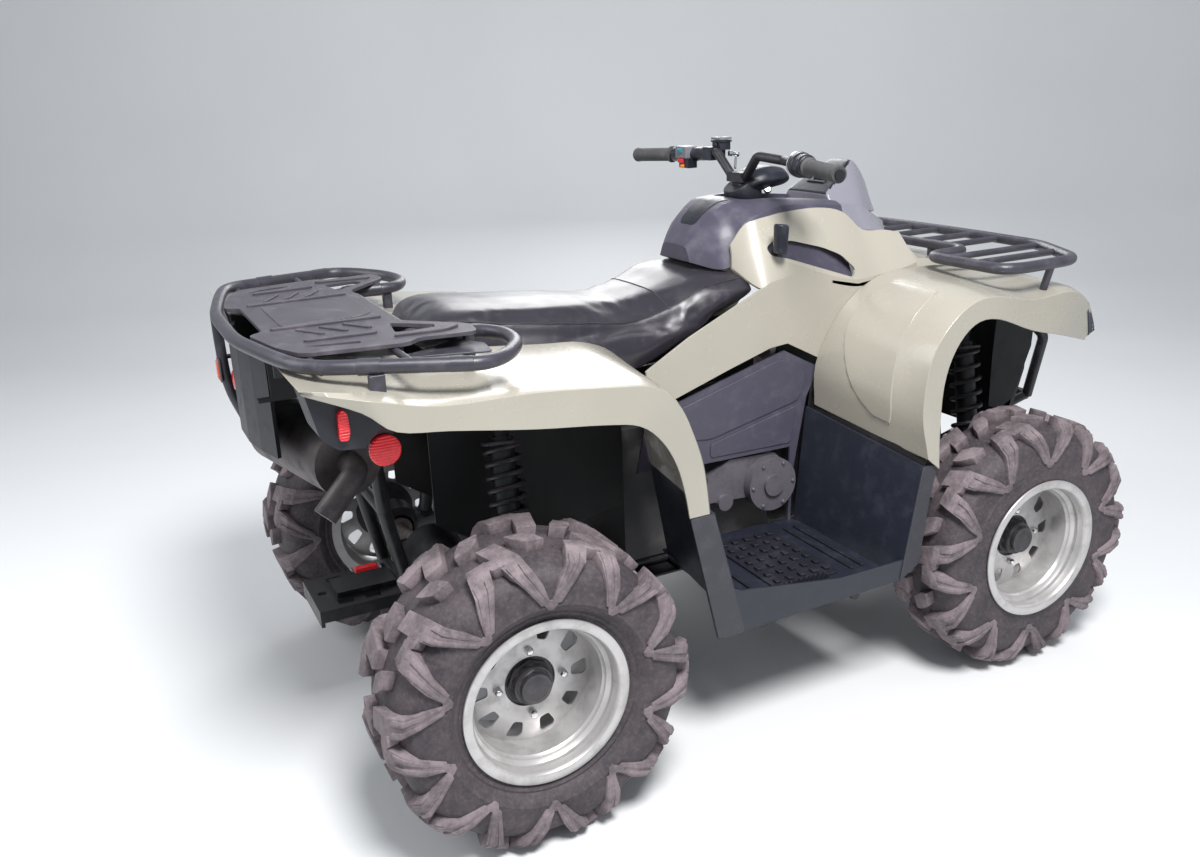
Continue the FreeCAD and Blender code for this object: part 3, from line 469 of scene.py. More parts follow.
# Console: dark violet-grey moulding between seat and handlebar, bolted down between the side
# panels and sunk around the steering, with a flush black lid behind it.
CONSOLE = [
    (-8, 1036, 1020, 1000, 40, 60, 70), (38, 1092, 1048, 986, 62, 110, 130),
    (76, 1122, 1060, 1003, 70, 130, 140), (105, 1131, 1092, 1066, 75, 140, 148),
    (190, 1133, 1118, 1096, 85, 142, 150), (275, 1127, 1116, 1100, 90, 142, 150),
    (378, 1116, 1106, 1078, 95, 138, 150)]
rings = []
for x, top, edge, foot, wide, edge_y, foot_y in smoothed(CONSOLE, 4):
    between = (0.5 * (wide + edge_y) + 3, 0.5 * (top + edge) + 3)
    rings.append(arched(x, [(0, top + 1), (wide, top - 1), between, (edge_y, edge), (foot_y, foot)]))
POCKET = rounded([(140, -74), (400, -74), (400, 74), (140, 74)], 30, 5)
pocket = placed("pocket_cut", slab(POCKET, 1090, 1300, "xy"))
console = piece("console_skin", lofted(rings), VIOLET, "console_grey", bevel=7, segments=3, angle=30,
                replaces=("console",), cutters=(pocket,))
bpy.data.objects.remove(pocket)


def draped(outline, target, lift, thickness, spacing=6):
    """Thin pad with a plan outline, over the surface of the piece below it."""
    form = bmesh.new()
    form.faces.new([form.verts.new((x, y, 0)) for x, y in outline])
    for axis in (0, 1):
        low, high = min(point[axis] for point in outline), max(point[axis] for point in outline)
        way = Vector((1 - axis, axis, 0))
        for n in range(1, int((high - low) / spacing)):
            geometry = form.verts[:] + form.edges[:] + form.faces[:]
            bmesh.ops.bisect_plane(form, geom=geometry, plane_co=way * (low + n * spacing), plane_no=way)
    tree = BVHTree.FromObject(target, bpy.context.evaluated_depsgraph_get())
    for vert in form.verts:
        below = tree.ray_cast(Vector((vert.co.x, vert.co.y, 1500)) / 1000, Vector((0, 0, -1)))[0]
        vert.co = Vector((vert.co.x, vert.co.y, below.z * 1000 + lift)) / 1000
    top = bmesh.ops.extrude_face_region(form, geom=form.faces[:])
    moved = [item for item in top["geom"] if isinstance(item, bmesh.types.BMVert)]
    bmesh.ops.translate(form, verts=moved, vec=(0, 0, thickness / 1000))
    return form


INKY = grained_plastic("inky_plastic", (0.030, 0.032, 0.045), (0.010, 0.011, 0.018), 0.3)
LID = rounded([(26, -34), (120, -46), (120, 46), (26, 34)], 12, 4)
piece("console_lid", draped(LID, console, -0.6, 2.2), INKY, "console_grey", bevel=1, angle=50)

# Cowl: light grey moulded hump ahead of the handlebar and the shelf below it, clipped to the hood.
# The hump's rear face is the dark instrument panel.
COWL = [(379, 1128, 1084, 80, 112), (450, 1182, 1080, 50, 104), (492, 1199, 1076, 34, 94),
        (532, 1156, 1070, 30, 72), (572, 1091, 1064, 14, 34)]
SHELF = [(381, 1110, 1082, 124, 152.6), (430, 1103, 1046, 114, 152.6), (468, 1094, 1038, 102, 152),
         (510, 1082, 1030, 76, 143), (560, 1064, 1006, 34, 92), (624, 1034, 996, 6, 20)]
hump = piece("cowl_hump", cover(COWL, 5), COWL_GREY, "cowl_grey", bevel=5, segments=3, angle=24,
             replaces=("dash_cowl",))
hump.data.materials.append(INKY)
for face in hump.data.polygons:
    middle = face.center * 1000
    if middle.x < 484 and face.normal.x < 0.1 and face.normal.z > 0.2 and abs(middle.y) < 70:
        face.material_index = 1
piece("cowl_shelf", cover(SHELF, 4), COWL_GREY, "cowl_grey", bevel=6, segments=3, angle=24)
gauge = lofted([[(402, y, 1150), (440, y, 1180), (446, y, 1172), (408, y, 1142)] for y in (-34, 34)])
piece("gauge_bezel", gauge, INKY, "cowl_grey", bevel=3, segments=3)

# Seat: foam under black vinyl, one long saddle with sewn welts along both edges and across
# the step. It is swelled by a short cloth simulation from a shape a little smaller than its space.
SEAT = [
    (-692, 930, 885, 110, 130), (-640, 976, 872, 140, 170), (-460, 962, 850, 160, 190),
    (-313, 950, 802, 160, 196), (-211, 940, 798, 158, 198), (-103, 960, 842, 160, 202),
    (-26, 982, 882, 165, 208), (78, 986, 926, 165, 208), (100, 978, 934, 152, 204)]


def vinyl():
    paint = Paint("seat_vinyl_cover")
    wear = paint.between(paint.noise(7, 5, 0.6), 0.4, 0.7)
    dust = paint.between(paint.noise(45, 5, 0.7), 0.5, 0.85)
    colour = paint.blend(dust, (0.016, 0.013, 0.020), (0.045, 0.038, 0.052))
    paint.raised((paint.cells(1100), 0.00016), (paint.noise(330, 3), 0.00010), (paint.noise(14, 3), 0.0009))
    return paint.finish(Base_Color=colour, Roughness=0.30 + wear * 0.12 + dust * 0.06, Coat_Weight=0.25,
                        Coat_Roughness=0.22, Sheen_Weight=0.08)


VINYL = vinyl()


def seat_rings(inset):
    rings = []
    rows = smoothed(SEAT, 5)
    for n, (x, top, low, wide, foot) in enumerate(rows):
        end = inset if n == 0 else -inset if n == len(rows) - 1 else 0
        top, low, wide, foot = top - inset, low + 2, wide - inset, foot - inset
        rings.append(arched(x + end, [
            (0, top), (0.5 * wide, top - 2), (0.86 * wide, top - 7),
            (0.5 * (wide + foot), top - 0.2 * (top - low)), (foot, low + 0.3 * (top - low)), (foot - 6, low)]))
    return rings


def swelled(form, voxel, pressure, cap, pinned_below, frames=20):
    """The form after a short cloth simulation with pressure inside; no point moves further than the cap."""
    obj = placed("swelling", form)
    remesh = obj.modifiers.new("voxels", "REMESH")
    remesh.mode = "VOXEL"
    remesh.voxel_size = voxel
    settle(obj)
    start = [vert.co.copy() for vert in obj.data.vertices]
    held = obj.vertex_groups.new(name="held")
    held.add([n for n, co in enumerate(start) if pinned_below(co)], 1.0, "REPLACE")
    cloth = obj.modifiers.new("cloth", "CLOTH")
    for setting, value in (("quality", 4), ("use_pressure", True), ("uniform_pressure_force", pressure),
                           ("tension_stiffness", 30), ("compression_stiffness", 30),
                           ("bending_stiffness", 2), ("vertex_group_mass", "held")):
        setattr(cloth.settings, setting, value)
    cloth.settings.effector_weights.gravity = 0
    cloth.point_cache.frame_start = 1
    cloth.point_cache.frame_end = frames
    for step in range(1, frames + 1):
        bpy.context.scene.frame_set(step)
    settle(obj)
    bpy.context.scene.frame_set(1)
    for vert, begin in zip(obj.data.vertices, start):
        shift = vert.co - begin
        if shift.length > cap:
            vert.co = begin + shift.normalized() * cap
    result = taken(obj)
    for _ in range(3):
        bmesh.ops.smooth_vert(result, verts=result.verts, factor=0.5, use_axis_x=True, use_axis_y=True,
                              use_axis_z=True)
    return result


def on_base(co):
    """Whether a point lies on the seat's base, which rises towards the front."""
    return co.z * 1000 < 868 + max(0, co.x * 1000 + 60) * 0.42


foam = swelled(lofted(seat_rings(9)), 0.0065, 4.0, 0.010, on_base)
saddle = piece("seat_cushion", foam, VINYL, "seat_vinyl", replaces=("seat",))
saddle.data.shade_smooth()


def round_ring(centre, side, up, radius, sides):
    """Ring of points about a centre, in the plane of two directions."""
    turns = [2 * math.pi * k / sides for k in range(sides)]
    return [tuple(centre + (side * math.cos(t) + up * math.sin(t)) * radius) for t in turns]


def welt(name, path, radius):
    """Thin tube laid on the saddle along a path."""
    tree = BVHTree.FromObject(saddle, bpy.context.evaluated_depsgraph_get())
    points = []
    for row in smoothed(path, 6):
        near, normal, _, _ = tree.find_nearest(Vector(row) / 1000)
        points.append(near * 1000 + normal * radius * 0.2)
    rings = []
    for n, point in enumerate(points):
        along = (points[min(n + 1, len(points) - 1)] - points[max(n - 1, 0)]).normalized()
        side = along.cross(Vector((0, 0, 1))).normalized()
        rings.append(round_ring(point, side, side.cross(along), radius, 8))
    piece(name, lofted(rings), VINYL, "seat_vinyl")


for side, label in SIDES:
    welt("seat_welt_" + label, [(x, side * (0.75 * wide + 0.25 * foot - 4), top - 0.17 * (top - low))
                                for x, top, low, wide, foot in SEAT[1:]], 1.7)
welt("seat_welt_cross",
     [(-120, -178, 930), (-128, -90, 958), (-130, 0, 962), (-128, 90, 958), (-120, 178, 930)], 1.5)

# Handlebar pod: a rounded padded cover over the clamp, with the key switch low on its right.
# It turns with the bar.
POD = [(165, 26, 1164, 1150, 1138), (193, 50, 1190, 1164, 1140), (240, 58, 1200, 1172, 1148),
       (285, 46, 1194, 1170, 1153), (308, 26, 1180, 1168, 1157)]


def lathed(profile, start, end, sides=32, target=None):
    """Solid of revolution about the line from start to end: profile of radius and distance along it."""
    start, end = Vector(start), Vector(end)
    way = (end - start).normalized()
    side = way.cross(Vector((0, 0, 1)) if abs(way.z) < 0.9 else Vector((1, 0, 0))).normalized()
    up = way.cross(side)
    return lofted([round_ring(start + way * along, side, up, r, sides) for r, along in profile], target)


rings = []
for x, wide, top, middle, low in smoothed(POD, 5):
    half = [(0.0, top + 2), (0.5 * wide, top), (0.85 * wide, 0.55 * top + 0.45 * middle), (wide, middle),
            (0.85 * wide, 0.5 * middle + 0.5 * low), (0.55 * wide, low), (0.0, low - 1)]
    rings.append([(x, y, z) for y, z in half] + [(x, -y, z) for y, z in reversed(half[1:-1])])
piece("pod_cushion", lofted(rings), INKY, "body_black", body="handlebar_set", bevel=5, segments=3, angle=24,
      replaces=("handlebar_pod",))
neck = lathed([(36, 45), (42, 45.5), (44, 38), (43, 10), (38, -4)], (175, 0, 1160), (600, 0, 400))
piece("pod_neck", neck, BLACK, "body_black", body="handlebar_set", bevel=1.5)


def turned(profile, steps):
    """Ring of revolution about the Y axis: closed profile of radius and distance along it."""
    form = bmesh.new()
    turns = [2 * math.pi * k / steps for k in range(steps)]
    rings = [[form.verts.new(Vector((r * math.cos(t), w, r * math.sin(t))) / 1000) for r, w in profile]
             for t in turns]
    bridged(form, rings + rings[:1])
    bmesh.ops.remove_doubles(form, verts=form.verts, dist=1e-6)
    bmesh.ops.recalc_face_normals(form, faces=form.faces)
    return form


def metal(name, colour, dull, rough, scratch=0.0002, polish=1.0):
    """Bare or painted metal with fine scratches and a film of dirt."""
    paint = Paint(name)
    film = paint.between(paint.noise(22, 6, 0.65), 0.42, 0.75)
    fine = paint.noise(420, 2, 0.5, (1, 1, 0.15))
    paint.raised((fine, scratch * 0.5), (paint.noise(45, 3), scratch))
    return paint.finish(Base_Color=paint.blend(film, colour, dull), Roughness=rough + film * 0.2,
                        Metallic=polish)


CHROME = metal("bright_metal", (0.72, 0.72, 0.72), (0.5, 0.49, 0.47), 0.2)
key = turned([(0, -6), (7, -6), (9.5, -4), (9.5, 2), (7, 3), (7, 1.5), (0, 1.5)], 32)
tilt = Matrix.Rotation(math.radians(-35), 4, "X") @ Matrix.Rotation(math.radians(-28), 4, "Z")
bmesh.ops.transform(key, matrix=Matrix.Translation((0.232, -0.040, 1.146)) @ tilt, verts=key.verts)
piece("key_switch", key, CHROME, "steel", body="handlebar_set", bevel=0.6)

# Tyres: off-road rubber with pairs of bars that meet in a V down each shoulder and blocks
# between them; ten pitches a side, the two sides half a pitch apart. The lugs are painted lighter
# for light dust and a painted highlight on their lit tops; the carcass is painted darker as shade in the
# grooves.
def ring_tree():
    """Geometry Nodes tree that copies its geometry around the Y axis."""
    group = bpy.data.node_groups.new("ring_of_copies", "GeometryNodeTree")
    for name, kind in (("Geometry", "Geometry"), ("Count", "Int"), ("Step", "Float"), ("Paint", "Material")):
        group.interface.new_socket(name, in_out="INPUT", socket_type="NodeSocket" + kind)
    group.interface.new_socket("Geometry", in_out="OUTPUT", socket_type="NodeSocketGeometry")
    kinds = ("NodeGroupInput", "GeometryNodePoints", "GeometryNodeInstanceOnPoints", "GeometryNodeInputIndex",
             "ShaderNodeMath", "ShaderNodeCombineXYZ", "FunctionNodeEulerToRotation",
             "GeometryNodeRealizeInstances", "GeometryNodeSetMaterial", "NodeGroupOutput")
    entry, points, copies, number, product, turn, rotation, real, paint, result = map(group.nodes.new, kinds)
    product.operation = "MULTIPLY"
    for source, output, target, place in (
            (entry, "Count", points, "Count"), (points, 0, copies, "Points"),
            (entry, "Geometry", copies, "Instance"), (number, 0, product, 0), (entry, "Step", product, 1),
            (product, 0, turn, "Y"), (turn, 0, rotation, 0), (rotation, 0, copies, "Rotation"),
            (copies, 0, real, 0), (real, 0, paint, "Geometry"), (entry, "Paint", paint, "Material"),
            (paint, 0, result, 0)):
        group.links.new(source.outputs[output], target.inputs[place])
    return group


RING = ring_tree()


def ring_mesh(form, count, material, bevel=0.0):
    """The form with its edges rounded, copied around the Y axis."""
    obj = placed("unit", form)
    if bevel:
        eased(obj, bevel, 2, 24)
    copies = obj.modifiers.new("copies", "NODES")
    copies.node_group = RING
    wanted = {"Count": count, "Step": 2 * math.pi / count, "Paint": material}
    for item in RING.interface.items_tree:
        if item.name in wanted:
            copies[item.identifier] = wanted[item.name]
    settle(obj)
    return taken(obj)


def joined(name, forms, materials, slot, body, centre, mirror, replaces):
    """One piece from several forms about the origin, each with its own material, moved to a centre."""
    whole = bmesh.new()
    for index, form in enumerate(forms):
        start = len(whole.faces)
        mesh = bpy.data.meshes.new("part")
        form.to_mesh(mesh)
        whole.from_mesh(mesh)
        whole.faces.ensure_lookup_table()
        for face in whole.faces[start:]:
            face.material_index = index
        bpy.data.meshes.remove(mesh)
    if mirror:
        bmesh.ops.scale(whole, verts=whole.verts, vec=MIRROR)
    bmesh.ops.translate(whole, verts=whole.verts, vec=Vector(centre) / 1000)
    bmesh.ops.recalc_face_normals(whole, faces=whole.faces)
    obj = placed(name, whole)
    for material in materials:
        obj.data.materials.append(material)
    obj.data.shade_smooth()
    obj.data.set_sharp_from_angle(angle=CREASE)
    given(obj, body, replaces)


def rubber(name, dusty, bare, rough, cracks=0.0004, specks=0.35):
    paint = Paint(name)
    dust = paint.between(paint.noise(16, 7, 0.7), 0.36, 0.66)
    fine = paint.between(paint.noise(130, 4, 0.6), 0.4, 0.8)
    colour = paint.blend(fine * specks, paint.blend(dust, bare, dusty), (0.30, 0.25, 0.24))
    paint.raised((paint.noise(90, 5, 0.6), cracks), (paint.noise(600, 2), 0.00015))
    return paint.finish(Base_Color=colour, Roughness=rough + dust * 0.12, Specular_IOR_Level=0.35)


# Two tones of one rubber. The lugs are lighter for dust plus painted light on their tops. The carcass,
# sidewalls and groove floors, is darker as painted shade.
LUG_RUBBER_DUST_AND_LIGHT = rubber("lug_rubber_dust_and_painted_light", (0.228, 0.186, 0.199), (0.100, 0.082, 0.090), 0.67, 0.0008)
WALL_RUBBER_PAINTED_SHADE = rubber("wall_rubber_painted_shade", (0.074, 0.060, 0.067), (0.040, 0.034, 0.040), 0.6, specks=0.16)
TYRE_R = 312
CROWN_R = TYRE_R / math.cos(math.radians(3.2))


def lug(target, side, base, way, rows):
    """Bar through rows of: width, radius, width and radius of its root, turn, half spread."""
    rings = []
    for width, radius, root_w, root_r, turn, spread in rows:
        low, high = base + way * turn - spread, base + way * turn + spread
        rings.append([polar(radius, low, side * width), polar(radius, high, side * width),
                      polar(root_r, high, side * root_w), polar(root_r, low, side * root_w)])
    lofted(rings, target)


PITCHES = 10


def tyre_lugs(half):
    """One pitch of lugs on both sides, for a tyre of the given half width."""
    form = bmesh.new()
    for side, base in ((-1, 288), (1, 270)):
        lug(form, side, base, 1, [(4, CROWN_R - 0.6, 4, 283, 2.4, 3.4), (24, CROWN_R, 24, 283, 0, 4.2),
                                  (48, CROWN_R - 0.6, 48, 283, -2.6, 3.4)])
        lug(form, side, base + 16, 1, [(half - 66, CROWN_R - 1.4, half - 66, 285, 1.6, 2.6),
                                       (half - 48, CROWN_R - 1, half - 50, 285, 0, 3.2),
                                       (half - 30, CROWN_R - 3.6, half - 40, 282, -1.4, 2.2)])
        for way, inner, lean in ((1, 16, 15.5), (-1, half - 68, 13.5)):
            lug(form, side, base - 2, way, [
                (inner, CROWN_R - 0.6, inner, 283, lean, 3.8),
                (half - 40, CROWN_R - 0.8, half - 52, 281, 12.5, 4.1),
                (half - 10, 290, half - 28, 274, 10.6, 4.0),
                (half - 1.5, 260, half - 22, 256, 7.4, 3.7), (half - 3.5, 216, half - 20, 216, 2.6, 2.6)])
            ribs = [(half - 24, 304.5, half - 36, 290, 11.6 + 2.3, 1.1),
                    (half - 6.5, 290, half - 24, 276, 10.6 + 2.2, 1.1),
                    (half, 260, half - 18, 256, 7.4 + 2.1, 1.1),
                    (half - 2, 224, half - 18, 224, 3.4 + 1.3, 0.8)]
            lug(form, side, base - 2, way, ribs)
            lug(form, side, base - 2, way,
                [row[:4] + (row[4] - 4.6 + n * 0.5, row[5]) for n, row in enumerate(ribs)])
        lug(form, side, base - 2, 1, [(half - 3.8, 224, half - 20, 224, 0, 4.6),
                                      (half - 4.2, 212, half - 20, 212, 0, 3.2),
                                      (half - 5.4, 203, half - 18, 203, 0, 1.4)])
    return form


def carcass(half):
    side = [(152.3, 97.7), (170.8, 97.7), (176, 97.9), (179, min(101, half - 8)), (184, min(103.7, half - 7)),
            (188, min(103, half - 8.5)), (205, half - 8), (209, half - 6.6), (213, half - 8), (232, half - 8),
            (248, half - 9), (262, half - 11), (273, half - 20), (282, half - 32), (287, half - 46),
            (290, half - 60), (291, 20)]
    return turned(side + [(r, -w) for r, w in reversed(side)], 120)


# Wheels: pressed steel rims painted silver, ten windows round the disc, held on the hubs by four
# nuts; a dark cap over the middle.
RIM = [(170, 105), (171, 102), (170, 100), (160, 99), (153, 97.5), (152, 96), (152, 70), (146, 63), (139, 55),
       (139, -55), (152, -70), (152, -98), (170, -100), (170, -105), (148, -105), (148, -72), (135, -57),
       (135, -4), (128, -1), (112, 5), (88, 8), (53, 8), (53, 13), (86, 13), (92, 12), (112, 9.5), (128, 3.5),
       (135, 1), (135, 57), (139, 62), (140, 66), (148, 72), (148, 80), (146.5, 82), (148, 84), (148, 96),
       (152, 104), (158, 105)]
WINDOW = [(-17, -10), (-17, 10), (10, 17), (20, 13), (20, -13), (10, -17)]
SILVER = metal("silver_paint", (0.54, 0.525, 0.52), (0.40, 0.385, 0.375), 0.34, 0.00012, 0.55)
SMOKE = metal("dark_cap", (0.045, 0.043, 0.05), (0.10, 0.09, 0.09), 0.4, 0.0003, 0.3)


def bolt(radius, height, place):
    """Hexagonal head with a domed top, standing out along Y."""
    x, y, z = place
    profile = ((radius, 0), (radius, height * 0.7), (radius * 0.8, height * 0.92), (radius * 0.35, height))
    return lofted([[polar(r, 60 * k, y + w, x, z) for k in range(6)] for r, w in profile])


rim = placed("rim", turned(RIM, 120))
outline = rounded([(105 + out, along) for out, along in WINDOW], 6)
window = lofted([[(r, w, along) for r, along in outline] for w in (-30, 40)])
holes = placed("rim_windows", ring_mesh(window, 10, SILVER))
holes.rotation_euler.y = math.radians(-34.5)
bpy.context.view_layer.update()
cut_by(rim, holes)
eased(rim, 1.2, 1, 40)
settle(rim)
bpy.data.objects.remove(holes)
rim_form = taken(rim)
nuts = ring_mesh(bolt(8.5, 15, (69, 13, 0)), 4, CHROME, 0.8)
CAP = [(0, 8), (47, 8), (47, 14), (43, 17), (38, 33), (34, 36), (30, 36), (29, 46), (26, 48), (0, 48)]
cap = turned(CAP, 8)
for end, x, track, half in (("front", AXLE_X, 485, 104.5), ("rear", -AXLE_X, 498, 130.0)):
    tyre = (carcass(half), ring_mesh(tyre_lugs(half), PITCHES, LUG_RUBBER_DUST_AND_LIGHT, 1.6))
    for side, label in SIDES:
        where = (f"wheel_{end}_{label}", (x, side * track, AXLE_Z), side < 0)
        joined(f"tyre_rubber_{end}_{label}", tyre, (WALL_RUBBER_PAINTED_SHADE, LUG_RUBBER_DUST_AND_LIGHT), "tyre_rubber", *where,
               (f"tyre_{end}_{label}",))
        joined(f"wheel_rim_{end}_{label}", (rim_form, nuts, cap), (SILVER, CHROME, SMOKE), "rim_silver", *where,
               (f"rim_{end}_{label}",))

# Racks: bent and welded steel tube, powder-coated dark grey, on posts that are bolted to the frame.
# The rear one has a moulded deck, sleeves on its loops and a web plate under each loop.
RACK = grained_plastic("rack_coat", (0.072, 0.068, 0.086), (0.040, 0.038, 0.050), 0.33, 1500, 0.00008)
DECK = grained_plastic("deck_plastic", (0.110, 0.098, 0.115), (0.060, 0.055, 0.068), 0.46, 500, 0.0003)


def bar(points, radius, reach=0.0, target=None, sides=16):
    """Round bar along a line of points in millimetres, its corners eased over the given reach."""
    points = [Vector(point) for point in points]
    line = [points[0]]
    for before, corner, after in zip(points, points[1:], points[2:]):
        back, on = before - corner, after - corner
        cut = min(reach, back.length * 0.48, on.length * 0.48)
        start, end = corner + back.normalized() * cut, corner + on.normalized() * cut
        for k in range(7):
            t = k / 6
            line.append(start * (1 - t) ** 2 + corner * 2 * t * (1 - t) + end * t * t)
    line.append(points[-1])
    line = line[:1] + [point for last, point in zip(line, line[1:]) if (point - last).length > 0.4]
    side = (line[1] - line[0]).orthogonal().normalized()
    rings = []
    for n, point in enumerate(line):
        way = (line[min(n + 1, len(line) - 1)] - line[max(n - 1, 0)]).normalized()
        side = (side - way * side.dot(way)).normalized()
        rings.append(round_ring(point, side, way.cross(side), radius, sides))
    return lofted(rings, target)


def span(side, near, far):
    """Low and high end of a stretch on one side of the quad."""
    return sorted((side * near, side * far))


def across(half):
    """The line of one side and its mirror image on the other."""
    return half + [(x, -y, z) for x, y, z in reversed(half)]


RAIL = [(-737, -283, 962), (-620, -272, 962), (-583, -335, 963), (-594, -428, 964), (-652, -512, 966),
        (-704, -546, 968), (-985, -440, 978), (-1015, -330, 976), (-1051.5, -130, 973)]
rear_rack = bar(across(RAIL), 13.2, 62)
bar([(-737, -296, 962), (-737, 296, 962)], 13, target=rear_rack)
for x, reach in ((-810, 503), (-960, 447)):
    bar([(x, -reach, 969), (x, reach, 969)], 7, target=rear_rack)
for side in (-1, 1):
    for x0, x1, y0, y1, z0 in ((-893, -865, 483, 496, 928), (-650, -630, 272, 292, 910),
                               (-745, -729, 122, 138, 796)):
        low, high = span(side, y0, y1)
        block(x0, x1, low, high, z0, 962, rear_rack)
bar([(-1050, 140, 973), (-1050, 140, 900), (-1046, 140, 815), (-1004, 140, 700)], 11, 40, target=rear_rack)
piece("rear_rack_tubes", rear_rack, RACK, "rack_grey", bevel=2, angle=50, replaces=("rear_rack",))
LOOP = [(690, -120, 978), (690, -246, 978), (555, -250, 978), (555, -480, 978), (600, -500, 978),
        (783, -492, 978), (880, -300, 978), (888, -100, 978)]
front_rack = bar(across(LOOP), 13, 46)
bar([(690, -128, 978), (690, 128, 978)], 12, target=front_rack)
for side in (-1, 1):
    for y, start, end in ((60, 690, 888), (160, 690, 885), (300, 555, 880), (390, 555, 836)):
        bar([(start, side * y, 978), (end, side * y, 978)], 8, target=front_rack)
    bar([(700, side * 496, 978), (700, side * 470, 892)], 9, target=front_rack)
    bar([(690, side * 120, 978), (690, side * 120, 800)], 10, target=front_rack)
piece("front_rack_tubes", front_rack, RACK, "rack_grey", bevel=1.5, angle=50, replaces=("front_rack",))

DECK_HALF = [(-748, 0), (-748, -190), (-640, -300), (-650, -372), (-760, -356), (-785, -384), (-972, -356),
             (-1003, -284), (-1030, -150), (-1000, -131), (-1000, 0)]
deck_line = DECK_HALF + [(x, -y) for x, y in reversed(DECK_HALF[1:-1])]
deck_form = slab(rounded(deck_line, 22, 4), 976.5, 984, "xy")
openings = bmesh.new()
for side in (-1, 1):
    for line in ([(-772, 205), (-700, 268), (-712, 300), (-785, 290)],
                 [(-960, 300), (-930, 322), (-860, 338), (-860, 318)]):
        slab(rounded([(x, side * y) for x, y in line], 9, 3), 960, 1000, "xy", openings)
openings = placed("deck_openings", openings)
piece("deck_plate", deck_form, DECK, "body_black", bevel=3, segments=3, replaces=("rear_rack_deck",),
      cutters=(openings,))
bpy.data.objects.remove(openings)
fields = slab(rounded([(-962, -112), (-800, -112), (-772, -80), (-772, 80), (-800, 112), (-962, 112)], 14, 3),
              983.5, 986, "xy")
for side in (-1, 1):
    for x, y, length in ((-985, 128, 215), (-950, 262, 135)):
        slab(rounded([(x, side * y), (x + length, side * (y + 8)), (x + length, side * (y + 20)),
                      (x, side * (y + 12))], 5, 2), 983.5, 989, "xy", fields)
    for x in (-930, -885, -840):
        slab(rounded([(x - 16, side * 165), (x + 20, side * 226), (x + 30, side * 226),
                      (x - 6, side * 165)], 3, 2), 983.5, 988, "xy", fields)
    slab(rounded([(-800, side * 330), (-700, side * 338), (-668, side * 318), (-672, side * 306),
                  (-790, side * 318)], 6, 2), 983.5, 989, "xy", fields)
piece("deck_ribs", fields, DECK, "body_black", bevel=1.4, segments=2)
sleeves = bmesh.new()
for side in (-1, 1):
    for start, end, radius in (((-735, 283, 962), (-655, 276, 962), 16),
                               ((-905, 470, 975), (-868, 484, 974), 15),
                               ((-760, 524, 970), (-722, 539, 969), 14)):
        bar([(start[0], side * start[1], start[2]), (end[0], side * end[1], end[2])], radius, target=sleeves)
    web = [(x, side * y) for x, y in ((-807, 367), (-667, 286), (-630, 346), (-640, 415))]
    slab(rounded(web, 10, 3), 950, 954, "xy", sleeves)
piece("rack_sleeves", sleeves, RACK, "rack_grey", bevel=1.8, segments=2)

# Controls: rubber grips with moulded rings, a switch block, brake reservoir and lever on the left,
# and the thumb throttle's drum on the right.
BAR_BEND, BAR_RUN = 160, 276.0


def along_grip(y, side=-1):
    """Point of the handlebar's outer run at a distance from the middle."""
    share = (y - BAR_BEND) / BAR_RUN
    return Vector((190 - 58 * share, side * y, 1224 - 11 * share))


def on_bar(name, form, material, bevel, segments=2, slot="body_black", **options):
    piece(name, form, material, slot, "handlebar_set", bevel, segments, **options)


GRIP = grained_plastic("grip_rubber_finish", (0.100, 0.098, 0.100), (0.055, 0.054, 0.056), 0.62, 1300, 0.0002)
profile = [(14, 0), (20.5, 1), (21, 5), (19, 7), (16.4, 9)]
for w in range(10, 129, 7):
    profile += [(16.6, w), (17.2, w + 2), (17.2, w + 4.5), (16.4, w + 6)]
profile += [(17, 132), (18.4, 136), (18.4, 142), (16.5, 145), (8, 145), (6.5, 141), (0.5, 141)]
for side, label in SIDES:
    grip = lathed(profile, along_grip(289, side), along_grip(435, side), 36)
    on_bar("grip_" + label, grip, GRIP, 0, slot="grip_rubber", replaces=("grips",) if side < 0 else ())
drum = lathed([(20, 0), (27, 2), (28, 5), (28, 20), (25.5, 22), (25.5, 42), (22, 47), (15, 49)],
              along_grip(238), along_grip(290), 40)
lathed([(6, 0), (9, 1), (9, 26), (6, 28)], (172, -250, 1206), (215, -262, 1190), 16, drum)
block(205, 224, -300, -252, 1186, 1196, drum)
on_bar("throttle_drum", drum, INKY, 1.5, replaces=("controls",))
band = lathed([(26, 0), (29, 0.5), (29, 4), (26, 4.5)], along_grip(236), along_grip(290), 40)
on_bar("throttle_band", band, CHROME, 0.6, slot="steel")
SWITCH = grained_plastic("switch_plastic", (0.20, 0.20, 0.22), (0.15, 0.15, 0.17), 0.4)
housing = block(150, 186, 204, 258, 1212, 1242)
lathed([(18, 0), (21, 1), (21, 7), (18, 8)], along_grip(250, 1), along_grip(288, 1), 28, housing)
on_bar("switch_housing", housing, SWITCH, 7, 4)
back = block(154, 182, 200, 246, 1188, 1214)
lathed([(17, 0), (18, 2), (18, 84), (17, 86)], along_grip(198, 1), along_grip(288, 1), 28, back)
on_bar("switch_body", back, INKY, 4, 3)


def button(name, colour, x, y, z, wide, tall, out):
    paint = Paint(name)
    tone = paint.between(paint.noise(220, 3), 0.3, 0.7)
    paint.raised((paint.noise(700, 2), 0.0001))
    shade = tuple(value * 0.75 for value in colour)
    finish = paint.finish(Base_Color=paint.blend(tone, colour, shade), Roughness=0.35 + tone * 0.1)
    form = block(x - out * 0.5, x + 2, y - wide / 2, y + wide / 2, z - tall / 2, z + tall / 2)
    block(x - out, x, y - wide / 2 + 1.6, y + wide / 2 - 1.6, z - tall / 2 + 1.6, z + tall / 2 - 1.6, form)
    on_bar(name, form, finish, 2, 3)


